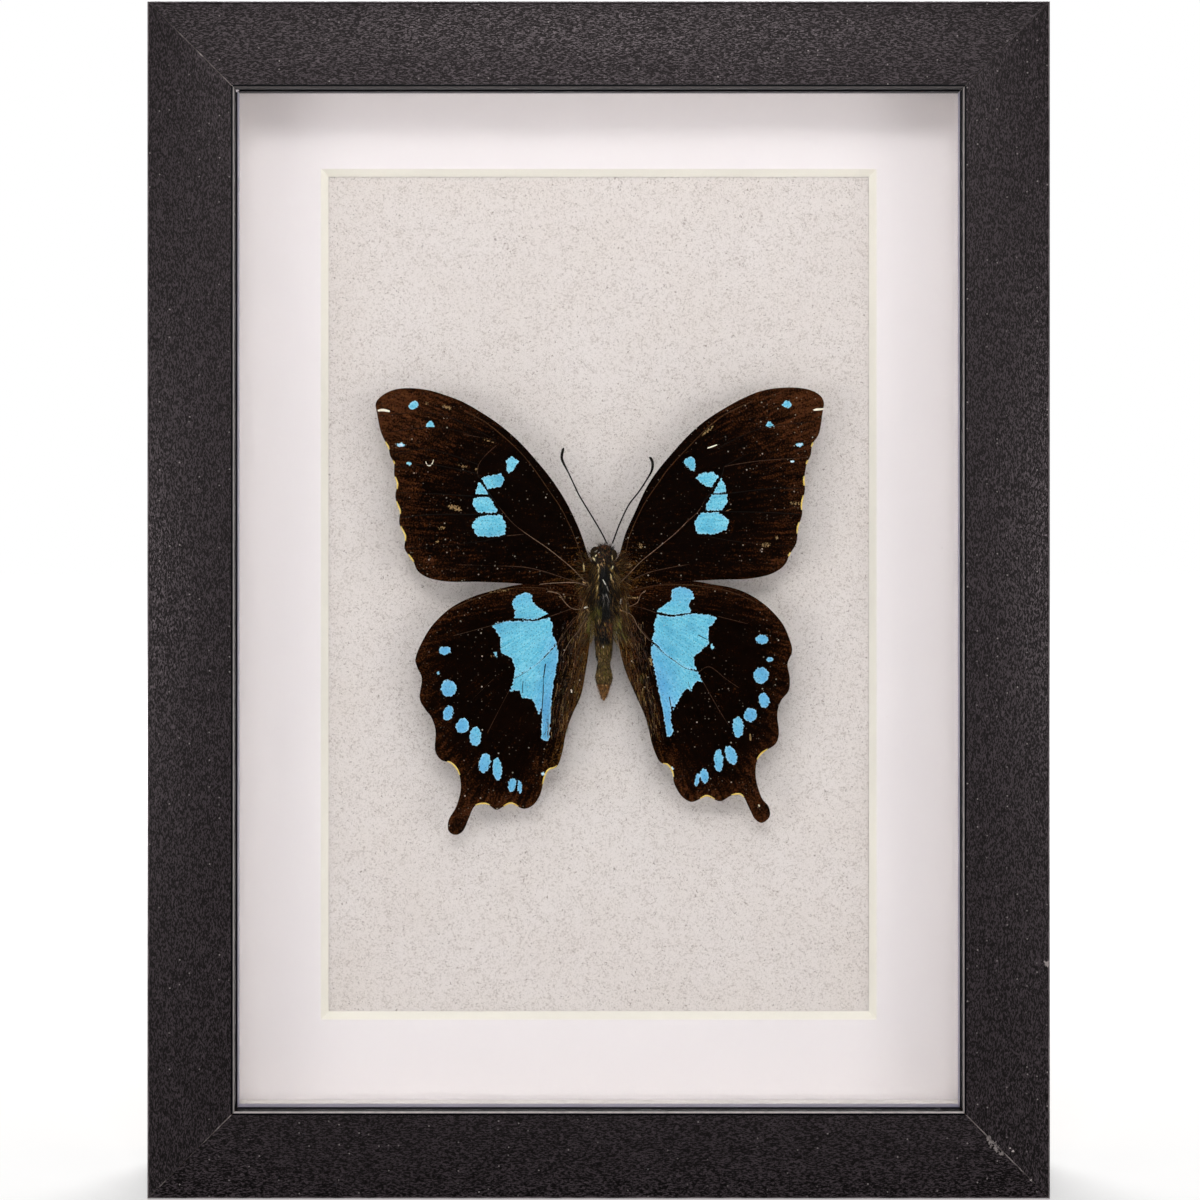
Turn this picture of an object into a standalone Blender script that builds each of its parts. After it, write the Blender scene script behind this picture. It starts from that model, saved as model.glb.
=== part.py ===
# A butterfly set with open wings in a deep black box frame, behind glass and a white window mat.
# The frame stands on its bottom rail and faces -Y. X is its width, Z its height, the origin is
# under the middle of the bottom rail. Blender units are metres.

import math

import bmesh
import bpy
from mathutils import Vector

MM = 0.001

# Driving dimensions in millimetres. A depth is measured back from the front face of the frame.
FRAME_WIDTH = 154.0
FRAME_HEIGHT = 204.3
FRAME_DEPTH = 34.0
RAIL_FACE = 14.6  # outer edge to the inner arris
OUTER_ROUND = 0.6
ARRIS_ROUND = 0.3
LIP_SLOPE = 0.15  # the lip's side leans in this far before its bead
LIP_BEAD = 0.35
BEAD_DEPTH = 2.8
LIP_THICKNESS = 5.5
REBATE_WALL = 11.6  # rail left beside the rebate
GAP = 0.3  # clearance between pieces that touch

SHEET_WIDTH = 130.0
SHEET_HEIGHT = 180.0
GLASS_DEPTH, GLASS_THICKNESS = 5.8, 2.0
SPACER_DEPTH, SPACER_RUN, SPACER_THICKNESS = 8.1, 11.6, 1.0
MAT_DEPTH, MAT_THICKNESS = 20.0, 1.4
WINDOW_WIDTH, WINDOW_HEIGHT = 98.4, 150.6
WINDOW_CENTRE = 102.3  # height of the window's middle
WINDOW_BEVEL = 1.25
PAPER_DEPTH, PAPER_THICKNESS = 21.7, 0.4
FOAM_DEPTH, FOAM_THICKNESS = 22.4, 7.0
BOARD_DEPTH, BOARD_THICKNESS = 29.7, 2.5

TAB_DEPTH, TAB_THICKNESS, TAB_WIDTH, TAB_LENGTH = 32.5, 0.5, 6.0, 12.0
TAB_IN_RAIL = 5.0
TAB_HEIGHTS = (48.0, 156.0)  # of the two tabs on each side rail
HANGER_DEPTH, HANGER_THICKNESS, HANGER_WIDTH, HANGER_HEIGHT = 32.5, 0.8, 44.0, 9.0
HANGER_CENTRE = 172.0
HANGER_TEETH = 9
BRAD_DIAMETER, BRAD_LENGTH, BRAD_SPREAD = 1.0, 3.2, 19.0

# The butterfly's own measures count from the middle of its thorax: right, up and depth.
THORAX_X = 0.9
THORAX_HEIGHT = 104.1
THORAX_DEPTH = 13.2
FOREWING_DEPTH = 12.6
HINDWING_DEPTH = 13.3
WING_THICKNESS = 0.3
WING_GRID = 4.5  # spacing of the cuts that let a wing curve
PIN_DIAMETER, PIN_DEPTH, PIN_LENGTH, PIN_POINT = 0.5, 14.6, 13.4, 1.2
PIN_HEIGHT = 0.5
LEG_DIAMETER = 0.44
ANTENNA_DIAMETER = 0.3
ANTENNA_CLUB = 1.9  # club over shaft

# Wing outlines in millimetres (right, up), from the front of the root round to its back.
FOREWING_LEFT = [
    (-2.8, 5.4), (-3.6, 8.0), (-4.6, 10.6), (-6.6, 14.7), (-9.2, 18.7), (-11.8, 21.9),
    (-14.7, 25.1), (-17.9, 27.9), (-21.1, 30.1), (-24.6, 32.1), (-28.0, 33.4), (-30.9, 34.2),
    (-34.1, 34.5), (-36.7, 34.2), (-38.7, 33.2), (-39.8, 31.9), (-39.6, 30.1), (-39.0, 27.1),
    (-38.2, 25.2), (-37.6, 24.1), (-37.3, 22.7), (-36.6, 21.3), (-36.6, 19.4), (-36.1, 17.7),
    (-36.4, 15.7), (-36.1, 14.2), (-35.6, 12.9), (-35.7, 10.8), (-34.7, 8.6), (-34.8, 6.6),
    (-34.0, 5.2), (-33.2, 4.1), (-32.4, 2.5), (-30.4, 1.3), (-26.9, 0.7), (-22.2, 0.7),
    (-16.4, 0.5), (-12.8, 0.2), (-9.3, 0.2), (-5.8, 0.3), (-2.9, -0.2),
]
FOREWING_RIGHT = [
    (2.8, 5.7), (3.8, 9.2), (5.5, 13.0), (7.2, 16.7), (9.0, 19.6), (11.6, 22.8), (14.5, 26.0),
    (17.4, 28.6), (20.9, 30.9), (24.4, 32.8), (27.8, 34.1), (31.6, 34.6), (35.1, 34.4),
    (37.4, 33.5), (38.4, 32.1), (38.2, 30.4), (37.6, 26.7), (36.4, 24.7), (36.1, 22.8),
    (35.4, 21.3), (35.0, 18.7), (35.1, 16.7), (34.6, 14.4), (34.6, 12.4), (33.9, 10.1),
    (33.6, 7.5), (32.4, 5.4), (31.8, 4.0), (30.6, 2.8), (28.4, 1.8), (24.9, 1.2), (20.6, 1.1),
    (16.2, 0.9), (12.0, 0.6), (8.2, 0.1), (5.6, -0.3), (2.9, -0.7),
]
HINDWING_LEFT = [
    (-2.9, -0.2), (-7.2, 0.6), (-11.3, 0.4), (-14.8, 0.2), (-18.1, -0.5), (-22.6, -1.8),
    (-26.5, -3.7), (-29.7, -6.6), (-31.6, -9.5), (-32.9, -12.6), (-32.6, -14.3),
    (-31.8, -16.3), (-32.2, -19.6), (-31.3, -21.5), (-30.1, -23.1), (-29.4, -25.5),
    (-29.5, -28.8), (-28.4, -30.5), (-26.8, -31.0), (-25.4, -32.7), (-25.0, -35.5),
    (-25.8, -38.6), (-27.1, -40.9), (-27.2, -42.8), (-26.0, -43.6), (-24.6, -42.9),
    (-23.6, -40.7), (-22.7, -38.7), (-21.5, -38.2), (-20.2, -38.3), (-18.8, -39.2),
    (-17.5, -38.6), (-16.1, -38.1), (-14.1, -39.0), (-12.4, -38.4), (-11.1, -36.5),
    (-10.4, -33.7), (-9.6, -32.2), (-8.1, -31.5), (-7.2, -28.9), (-6.6, -25.7), (-5.5, -22.5),
    (-4.0, -19.2), (-3.2, -15.2), (-2.6, -11.1), (-2.4, -7.0), (-2.7, -3.3),
]
HINDWING_RIGHT = [
    (2.9, -0.4), (7.3, 0.5), (11.3, 0.9), (15.8, 0.8), (18.7, 0.3), (22.2, -0.3), (25.4, -1.5),
    (28.6, -3.7), (31.2, -6.6), (32.5, -9.5), (32.9, -11.5), (32.1, -13.7), (32.5, -16.1),
    (32.3, -18.4), (30.9, -20.2), (30.3, -22.6), (30.6, -25.7), (30.0, -27.7), (27.8, -29.2),
    (26.7, -30.9), (26.6, -33.8), (27.6, -37.1), (28.8, -38.6), (29.0, -40.4), (27.7, -41.5),
    (26.4, -40.8), (25.4, -38.9), (24.2, -36.7), (22.3, -36.7), (20.3, -37.7), (18.1, -36.8),
    (16.8, -37.3), (15.2, -37.8), (13.5, -36.7), (12.3, -34.6), (12.0, -32.8), (11.2, -31.4),
    (9.7, -30.7), (8.4, -27.6), (7.4, -23.4), (5.2, -18.3), (3.6, -14.4), (2.6, -10.2),
    (2.3, -6.5), (2.8, -3.3),
]
# Antennae (right, up) from the head to the tip.
ANTENNA_LEFT = [
    (0.5, 7.4), (-0.1, 8.7), (-1.4, 11.0), (-2.8, 13.3), (-4.3, 15.8), (-5.4, 18.1),
    (-6.3, 20.0), (-7.2, 21.8), (-7.3, 22.8), (-7.0, 24.1),
]
ANTENNA_RIGHT = [
    (1.5, 7.4), (1.9, 8.5), (2.6, 10.4), (3.6, 12.7), (4.6, 14.5), (6.1, 16.4), (7.4, 18.4),
    (8.3, 20.0), (8.5, 21.2), (8.3, 22.0), (7.9, 22.5),
]
# Body sections: height, half width, half depth, how far the section lies behind the thorax line.
BODY_SECTIONS = [
    (7.1, 0.5, 0.5, -0.2), (6.6, 1.5, 1.2, -0.1), (5.6, 2.0, 1.6, 0.0), (4.6, 1.8, 1.7, 0.0),
    (3.5, 2.2, 2.3, 0.0), (1.8, 2.45, 2.7, 0.0), (0.0, 2.5, 2.8, 0.0), (-2.0, 2.4, 2.7, 0.0),
    (-3.8, 2.1, 2.4, 0.1), (-5.2, 1.7, 1.95, 0.2), (-7.2, 1.6, 1.7, 0.3),
    (-10.0, 1.5, 1.55, 0.5), (-12.2, 1.3, 1.4, 0.6), (-13.4, 0.95, 1.15, 0.65),
    (-14.6, 1.2, 1.3, 0.7), (-16.0, 1.5, 1.35, 0.8), (-17.2, 1.15, 1.05, 0.9),
    (-18.4, 0.7, 0.75, 1.0), (-19.6, 0.35, 0.4, 1.05), (-20.2, 0.12, 0.15, 1.05),
]
BODY_SIDES = 16
EYES = [(-1.45, 5.7, 1.05), (1.5, 5.4, 0.95)]  # right, up, radius


def clear_scene():
    for obj in list(bpy.data.objects):
        bpy.data.objects.remove(obj, do_unlink=True)


def linear(channel):
    return channel / 12.92 if channel <= 0.04045 else ((channel + 0.055) / 1.055) ** 2.4


def make_material(name, hex_colour, roughness, metallic=0.0, transmission=0.0):
    material = bpy.data.materials.new(name)
    material.use_nodes = True
    shader = material.node_tree.nodes["Principled BSDF"]
    colour = [linear(int(hex_colour[i : i + 2], 16) / 255) for i in (0, 2, 4)]
    shader.inputs["Base Color"].default_value = (*colour, 1.0)
    shader.inputs["Roughness"].default_value = roughness
    shader.inputs["Metallic"].default_value = metallic
    shader.inputs["Transmission Weight"].default_value = transmission
    material.diffuse_color = (*colour, 1.0)
    return material


def place(right, up, depth):
    # A point of the frame: millimetres right of the middle, above the foot, behind the front.
    return Vector((right, depth - FRAME_DEPTH / 2, up)) * MM


def on_butterfly(right, up, depth):
    return place(THORAX_X + right, THORAX_HEIGHT + up, depth)


def add_object(name, bm, material, parent=None, smooth_angle=None):
    bmesh.ops.recalc_face_normals(bm, faces=bm.faces)
    mesh = bpy.data.meshes.new(name)
    bm.to_mesh(mesh)
    bm.free()
    obj = bpy.data.objects.new(name, mesh)
    bpy.context.scene.collection.objects.link(obj)
    if material:
        mesh.materials.append(material)
    obj.parent = parent
    if smooth_angle is not None:
        mesh.shade_smooth()
        mesh.set_sharp_from_angle(angle=math.radians(smooth_angle))
    return obj


def add_box(name, low, high, material, parent=None):
    # A block between two corners, each (right, up, depth); the object sits at its middle.
    a, b = place(*low), place(*high)
    bm = bmesh.new()
    bmesh.ops.create_cube(bm, size=1.0)
    bmesh.ops.scale(bm, vec=b - a, verts=bm.verts)
    obj = add_object(name, bm, material, parent)
    obj.location = (a + b) / 2
    return obj


def cut(obj, cutter):
    cutter.hide_render = True
    cutter.display_type = "WIRE"
    boolean = obj.modifiers.new("cut_" + cutter.name, "BOOLEAN")
    boolean.operation = "DIFFERENCE"
    boolean.solver = "EXACT"
    boolean.object = cutter


def join(obj, helper):
    helper.hide_render = True
    helper.display_type = "WIRE"
    boolean = obj.modifiers.new("join_" + helper.name, "BOOLEAN")
    boolean.operation = "UNION"
    boolean.solver = "EXACT"
    boolean.object = helper


def add_drill(name, centre, diameter, start, end, sides=16):
    # A round cutter or pin along the depth, from depth start to depth end.
    bm = bmesh.new()
    bmesh.ops.create_cone(
        bm, cap_ends=True, segments=sides, radius1=diameter / 2 * MM, radius2=diameter / 2 * MM,
        depth=(end - start) * MM,
    )
    drill = add_object(name, bm, None)
    drill.rotation_euler = (math.radians(90), 0, 0)
    drill.location = place(centre[0], centre[1], (start + end) / 2)
    return drill


def spline(points, steps):
    # A Catmull-Rom curve through the points, open at both ends.
    curve = []
    for i in range(len(points) - 1):
        before = points[max(i - 1, 0)]
        start, end = points[i], points[i + 1]
        after = points[min(i + 2, len(points) - 1)]
        for step in range(steps):
            t = step / steps
            curve.append(tuple(
                0.5 * (2 * b + (c - a) * t + (2 * a - 5 * b + 4 * c - d) * t**2
                       + (3 * b - a - 3 * c + d) * t**3)
                for a, b, c, d in zip(before, start, end, after)
            ))
    curve.append(tuple(points[-1]))
    return curve


def skin(bm, rings, closed=False):
    # Quads between each ring of vertices and the next; closed also joins the last to the first.
    pairs = list(zip(rings, rings[1:] + rings[:1] if closed else rings[1:]))
    for near, far in pairs:
        for i in range(len(near)):
            j = (i + 1) % len(near)
            bm.faces.new((near[i], near[j], far[j], far[i]))


def arc(centre, radius, start, end, steps):
    turn = [math.radians(start + (end - start) * i / steps) for i in range(steps + 1)]
    return [(centre[0] + radius * math.cos(a), centre[1] + radius * math.sin(a)) for a in turn]


# The black frame: four mitred rails of one section, with a lip in front and a rebate behind.
def rail_section():
    # (distance in from the outer edge, depth)
    lip = RAIL_FACE + LIP_SLOPE
    edge = lip + LIP_BEAD
    section = [(OUTER_ROUND, FRAME_DEPTH), (0.0, FRAME_DEPTH - OUTER_ROUND)]
    section += arc((OUTER_ROUND, OUTER_ROUND), OUTER_ROUND, 180, 270, 4)
    section += arc((RAIL_FACE - ARRIS_ROUND, ARRIS_ROUND), ARRIS_ROUND, 270, 360, 3)
    section += [(lip, BEAD_DEPTH), (edge, BEAD_DEPTH + LIP_BEAD), (edge, LIP_THICKNESS)]
    section += [(REBATE_WALL, LIP_THICKNESS), (REBATE_WALL, FRAME_DEPTH)]
    return section


def add_rail(name, corner, along, inward, length, material, parent):
    pull = GAP / 2 * math.sqrt(2)  # each end stands back from the mitre by half the clearance
    ring = []
    bm = bmesh.new()
    for inset, depth in rail_section():
        near = Vector(corner) + Vector(along) * (inset + pull) + Vector(inward) * inset
        ring.append(bm.verts.new(place(near.x, near.y, depth)))
    start = bm.faces.new(ring)
    end = bmesh.ops.extrude_face_region(bm, geom=[start])
    far = [v for v in end["geom"] if isinstance(v, bmesh.types.BMVert)]
    for near, vert in zip(ring, far):
        vert.co = near.co
    for vert in far:
        point = vert.co / MM
        inset = (Vector((point.x, point.z)) - Vector(corner)).dot(Vector(inward))
        run = length - 2 * (inset + pull)
        vert.co += Vector((along[0], 0, along[1])) * run * MM
    return add_object(name, bm, material, parent, smooth_angle=35)


def add_frame(parent):
    black = make_material("black_foil_wood", "26221f", 0.42)
    half = FRAME_WIDTH / 2
    rails = {
        "rail_bottom": ((-half, 0), (1, 0), (0, 1), FRAME_WIDTH),
        "rail_top": ((-half, FRAME_HEIGHT), (1, 0), (0, -1), FRAME_WIDTH),
        "rail_left": ((-half, 0), (0, 1), (1, 0), FRAME_HEIGHT),
        "rail_right": ((half, 0), (0, 1), (-1, 0), FRAME_HEIGHT),
    }
    return {
        name: add_rail(name, *shape, black, parent) for name, shape in rails.items()
    }


# What lies in the rebate, front to back.
def add_glass(parent):
    clear = make_material("clear_float_glass", "f4faf8", 0.02, transmission=1.0)
    foot = REBATE_WALL + GAP
    glass = add_box(
        "glass", (-SHEET_WIDTH / 2, foot, GLASS_DEPTH),
        (SHEET_WIDTH / 2, foot + SHEET_HEIGHT, GLASS_DEPTH + GLASS_THICKNESS), clear, parent,
    )
    edge = glass.modifiers.new("ground_edge", "BEVEL")
    edge.width = 0.2 * MM
    edge.segments = 1
    return glass


def add_spacers(parent):
    white = make_material("white_card_strip", "f2f0ec", 0.8)
    foot = REBATE_WALL + GAP
    top = FRAME_HEIGHT - REBATE_WALL - GAP
    side = FRAME_WIDTH / 2 - REBATE_WALL - GAP
    front, back = SPACER_DEPTH, SPACER_DEPTH + SPACER_RUN
    inner = side - SPACER_THICKNESS
    low, high = foot + SPACER_THICKNESS, top - SPACER_THICKNESS
    add_box("spacer_bottom", (-side, foot, front), (side, low, back), white, parent)
    add_box("spacer_top", (-side, high, front), (side, top, back), white, parent)
    add_box("spacer_left", (-side, low + GAP, front), (-inner, high - GAP, back), white, parent)
    add_box("spacer_right", (inner, low + GAP, front), (side, high - GAP, back), white, parent)


def add_mat(parent):
    card = make_material("white_core_mat_board", "efeeec", 0.85)
    foot = REBATE_WALL + GAP
    middle = foot + SHEET_HEIGHT / 2
    back = MAT_DEPTH + MAT_THICKNESS
    narrow, low = WINDOW_WIDTH - 2 * WINDOW_BEVEL, WINDOW_HEIGHT - 2 * WINDOW_BEVEL
    loops = [
        (SHEET_WIDTH, SHEET_HEIGHT, middle, MAT_DEPTH),
        (SHEET_WIDTH, SHEET_HEIGHT, middle, back),
        (narrow, low, WINDOW_CENTRE, back),
        (WINDOW_WIDTH, WINDOW_HEIGHT, WINDOW_CENTRE, MAT_DEPTH),
    ]
    bm = bmesh.new()
    rings = [
        [
            bm.verts.new(place(sx * width / 2, centre + sz * height / 2, depth))
            for sx, sz in ((-1, -1), (1, -1), (1, 1), (-1, 1))
        ]
        for width, height, centre, depth in loops
    ]
    skin(bm, rings, closed=True)
    return add_object("window_mat", bm, card, parent)


def add_backing(parent):
    paper = make_material("speckled_backing_paper", "d8d1cb", 0.9)
    foam = make_material("white_pinning_foam", "f4f3ef", 0.85)
    hardboard = make_material("brown_hardboard", "8a6a4a", 0.75)
    half, foot = SHEET_WIDTH / 2, REBATE_WALL + GAP
    top = foot + SHEET_HEIGHT
    sheet = add_box(
        "backing_paper", (-half, foot, PAPER_DEPTH), (half, top, PAPER_DEPTH + PAPER_THICKNESS),
        paper, parent,
    )
    block = add_box(
        "pinning_foam", (-half, foot, FOAM_DEPTH), (half, top, FOAM_DEPTH + FOAM_THICKNESS),
        foam, parent,
    )
    board = add_box(
        "back_board", (-half, foot, BOARD_DEPTH), (half, top, BOARD_DEPTH + BOARD_THICKNESS),
        hardboard, parent,
    )
    pin_end = PIN_DEPTH + PIN_LENGTH
    pin_hole = add_drill(
        "pin_hole_cutter", (THORAX_X, THORAX_HEIGHT + PIN_HEIGHT), PIN_DIAMETER + 2 * GAP,
        PAPER_DEPTH - 1, pin_end + GAP,
    )
    cut(sheet, pin_hole)
    cut(block, pin_hole)
    for side in (-1, 1):
        hole = add_drill(
            "brad_hole_cutter", (side * BRAD_SPREAD, HANGER_CENTRE), BRAD_DIAMETER + 2 * GAP,
            HANGER_DEPTH - BRAD_LENGTH, HANGER_DEPTH + 1,
        )
        cut(board, hole)


# Flat metal tabs driven into the rails hold the back board in.
def add_tabs(rails, parent):
    steel = make_material("zinc_plated_tab", "a9abac", 0.35, 1.0)
    wall = FRAME_WIDTH / 2 - REBATE_WALL
    ceiling, floor = FRAME_HEIGHT - REBATE_WALL, REBATE_WALL
    reach, out = TAB_IN_RAIL, TAB_LENGTH - TAB_IN_RAIL
    low, high = TAB_DEPTH, TAB_DEPTH + TAB_THICKNESS
    half = TAB_WIDTH / 2
    spots = {
        "tab_bottom": ("rail_bottom", (-half, floor - reach), (half, floor + out)),
        "tab_top": ("rail_top", (-half, ceiling - out), (half, ceiling + reach)),
    }
    for place_name, height in zip(("lower", "upper"), TAB_HEIGHTS):
        spots["tab_left_" + place_name] = (
            "rail_left", (-wall - reach, height - half), (-wall + out, height + half),
        )
        spots["tab_right_" + place_name] = (
            "rail_right", (wall - out, height - half), (wall + reach, height + half),
        )
    for name, (rail, near, far) in spots.items():
        add_box(name, (*near, low), (*far, high), steel, parent)
        slot = add_box(
            name + "_slot_cutter", (near[0] - GAP, near[1] - GAP, low - GAP),
            (far[0] + GAP, far[1] + GAP, high + GAP), None,
        )
        cut(rails[rail], slot)


# A saw-tooth hanger pinned to the back board with two brads.
def add_hanger(parent):
    steel = make_material("brassed_steel_hanger", "b59a5c", 0.35, 1.0)
    half = HANGER_WIDTH / 2
    tooth_band = half - 10.0
    low, high = HANGER_CENTRE - HANGER_HEIGHT / 2, HANGER_CENTRE + HANGER_HEIGHT / 2
    outline = [(half, low), (half, high), (-half, high), (-half, low)]
    pitch = 2 * tooth_band / HANGER_TEETH
    for i in range(HANGER_TEETH):
        start = -tooth_band + i * pitch
        outline += [(start, low), (start + pitch / 2, low + 1.3)]
    outline.append((tooth_band, low))
    bm = bmesh.new()
    face = bm.faces.new([bm.verts.new(place(x, z, HANGER_DEPTH)) for x, z in outline])
    back = bmesh.ops.extrude_face_region(bm, geom=[face])
    moved = [v for v in back["geom"] if isinstance(v, bmesh.types.BMVert)]
    bmesh.ops.translate(bm, verts=moved, vec=(0, HANGER_THICKNESS * MM, 0))
    hanger = add_object("hanger", bm, steel, parent)
    for side, name in ((-1, "brad_left"), (1, "brad_right")):
        spot = (side * BRAD_SPREAD, HANGER_CENTRE)
        end = HANGER_DEPTH + HANGER_THICKNESS
        cut(hanger, add_drill(
            name + "_hole_cutter", spot, BRAD_DIAMETER + 2 * GAP, HANGER_DEPTH - 1, end + 1,
        ))
        brad = add_drill(name, spot, BRAD_DIAMETER, end + GAP - BRAD_LENGTH, end + GAP, 12)
        brad.parent = parent
        brad.data.materials.append(steel)


# The butterfly.
def wing_depth(right, up, hind):
    # A set wing arches a little between root and tip, and its hind margin hangs back.
    out = abs(right)
    if hind:
        arch = 0.5 * math.sin(math.pi * min(out / 34.0, 1.0))
        return HINDWING_DEPTH - arch + 0.6 * (up / 40.0) ** 2
    arch = 0.6 * math.sin(math.pi * min(out / 40.0, 1.0))
    return FOREWING_DEPTH - arch + 0.5 * (out / 40.0) ** 2 - 0.25 * (up - 2.0) / 30.0


def add_wing(name, outline, hind, material, parent):
    edge = spline(outline, 2)
    bm = bmesh.new()
    bm.faces.new([bm.verts.new(Vector((x, 0, z))) for x, z in edge])
    for axis, normal in ((0, (1, 0, 0)), (1, (0, 0, 1))):
        values = [point[axis] for point in edge]
        step = math.ceil(min(values) / WING_GRID) * WING_GRID
        while step < max(values) - 1.0:
            bmesh.ops.bisect_plane(
                bm, geom=bm.verts[:] + bm.edges[:] + bm.faces[:], dist=1e-4,
                plane_co=Vector(normal) * step, plane_no=Vector(normal),
            )
            step += WING_GRID
    bmesh.ops.triangulate(bm, faces=bm.faces)
    top = list(bm.verts)
    back = bmesh.ops.extrude_face_region(bm, geom=bm.faces[:])
    under = {v for v in back["geom"] if isinstance(v, bmesh.types.BMVert)}
    for vert in bm.verts:
        right, up = vert.co.x, vert.co.z
        shift = WING_THICKNESS / 2 if vert in under else -WING_THICKNESS / 2
        vert.co = on_butterfly(right, up, wing_depth(right, up, hind) + shift)
    assert len(top) * 2 == len(bm.verts)
    return add_object(name, bm, material, parent, smooth_angle=40)


def add_body(parent):
    dark = make_material("dark_haired_cuticle", "2c2118", 0.8)
    bm = bmesh.new()
    rings = []
    for up, half_width, half_depth, behind in BODY_SECTIONS:
        circle = bmesh.ops.create_circle(bm, cap_ends=False, segments=BODY_SIDES, radius=1.0)
        for vert in circle["verts"]:
            right, depth = vert.co.x * half_width, vert.co.y * half_depth
            vert.co = on_butterfly(right, up, THORAX_DEPTH + behind + depth)
        rings.append(circle["verts"])
    skin(bm, rings)
    bm.faces.new(rings[0])
    bm.faces.new(rings[-1])
    body = add_object("body", bm, dark, parent, smooth_angle=60)
    for i, (right, up, radius) in enumerate(EYES):
        ball = bmesh.new()
        bmesh.ops.create_icosphere(ball, subdivisions=2, radius=radius * MM)
        eye = add_object("eye_%d_helper" % i, ball, dark)
        eye.location = on_butterfly(right, up, THORAX_DEPTH - 0.3)
        join(body, eye)
    cut(body, add_drill(
        "thorax_hole_cutter", (THORAX_X, THORAX_HEIGHT + PIN_HEIGHT), PIN_DIAMETER + 2 * GAP,
        PIN_DEPTH - GAP, THORAX_DEPTH + 5.0,
    ))


def add_tube(name, points, diameter, material, parent, widths=None):
    # A round curve through (right, up, depth) points with closed ends.
    curve = bpy.data.curves.new(name, "CURVE")
    curve.dimensions = "3D"
    curve.bevel_depth = diameter / 2 * MM
    curve.bevel_resolution = 1
    curve.use_fill_caps = True
    line = curve.splines.new("POLY")
    line.points.add(len(points) - 1)
    for i, (right, up, depth) in enumerate(points):
        line.points[i].co = (*on_butterfly(right, up, depth), 1.0)
        line.points[i].radius = widths[i] if widths else 1.0
    obj = bpy.data.objects.new(name, curve)
    bpy.context.scene.collection.objects.link(obj)
    curve.materials.append(material)
    obj.parent = parent
    return obj


def add_antennae(parent):
    black = make_material("black_antenna", "15100c", 0.5)
    for name, route in (("antenna_left", ANTENNA_LEFT), ("antenna_right", ANTENNA_RIGHT)):
        path = spline(route, 2)
        last = len(path) - 1
        points, widths = [], []
        for i, (right, up) in enumerate(path):
            along = i / last
            points.append((right, up, THORAX_DEPTH - 0.6 - 1.2 * along))
            swell = min(max((along - 0.72) / 0.2, 0.0), 1.0)
            widths.append(1.0 + (ANTENNA_CLUB - 1.0) * swell)
        add_tube(name, points, ANTENNA_DIAMETER, black, parent, widths)


def add_legs(parent):
    # Six legs folded back under the thorax, hidden from the front by the wings.
    brown = make_material("brown_leg", "2a1c12", 0.6)
    for side, side_name in ((-1, "left"), (1, "right")):
        for i, pair in enumerate(("front", "middle", "hind")):
            root = 3.0 - 2.4 * i
            knee = (side * (3.0 + 0.3 * i), root - 0.5 - 0.5 * i, 17.5 + 0.3 * i)
            shin = (side * (2.3 + 0.3 * i), root - 3.6 - 0.2 * i, 18.4 + 0.5 * i)
            foot = (side * (1.9 + 0.3 * i), root - 6.0 - 0.2 * i, 19.2 + 0.5 * i)
            route = [(side * 1.0, root, 16.5), knee, shin, foot]
            add_tube("leg_%s_%s" % (pair, side_name), route, LEG_DIAMETER, brown, parent)


def add_pin(parent):
    steel = make_material("steel_pin", "b8b8b6", 0.25, 1.0)
    bm = bmesh.new()
    radius, end = PIN_DIAMETER / 2, PIN_DEPTH + PIN_LENGTH
    rings = []
    for depth, size in ((PIN_DEPTH, radius), (end - PIN_POINT, radius), (end, 0.05)):
        circle = bmesh.ops.create_circle(bm, cap_ends=False, segments=12, radius=size)
        for vert in circle["verts"]:
            vert.co = on_butterfly(vert.co.x, PIN_HEIGHT + vert.co.y, depth)
        rings.append(circle["verts"])
    skin(bm, rings)
    bm.faces.new(rings[0])
    bm.faces.new(rings[-1])
    add_object("pin", bm, steel, parent, smooth_angle=40)


def add_butterfly(parent):
    scaled = make_material("dark_scaled_wing", "1d130d", 0.7)
    add_wing("forewing_left", FOREWING_LEFT, False, scaled, parent)
    add_wing("forewing_right", FOREWING_RIGHT, False, scaled, parent)
    add_wing("hindwing_left", HINDWING_LEFT, True, scaled, parent)
    add_wing("hindwing_right", HINDWING_RIGHT, True, scaled, parent)
    add_body(parent)
    add_antennae(parent)
    add_legs(parent)
    add_pin(parent)


def main():
    clear_scene()
    frame = bpy.data.objects.new("frame", None)
    specimen = bpy.data.objects.new("specimen", None)
    for empty in (frame, specimen):
        bpy.context.scene.collection.objects.link(empty)
    rails = add_frame(frame)
    add_glass(frame)
    add_spacers(frame)
    add_mat(frame)
    add_backing(frame)
    add_tabs(rails, frame)
    add_hanger(frame)
    add_butterfly(specimen)


main()
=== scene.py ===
# The looks of the framed butterfly: foil rails, glass, mat, paper and back, and the set insect.
# The insect's outlines are in millimetres right of and above the middle of its thorax. Its
# markings were read off the photograph in pixels, and photoScale lays them on the wings.
import math
from functools import partial

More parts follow.
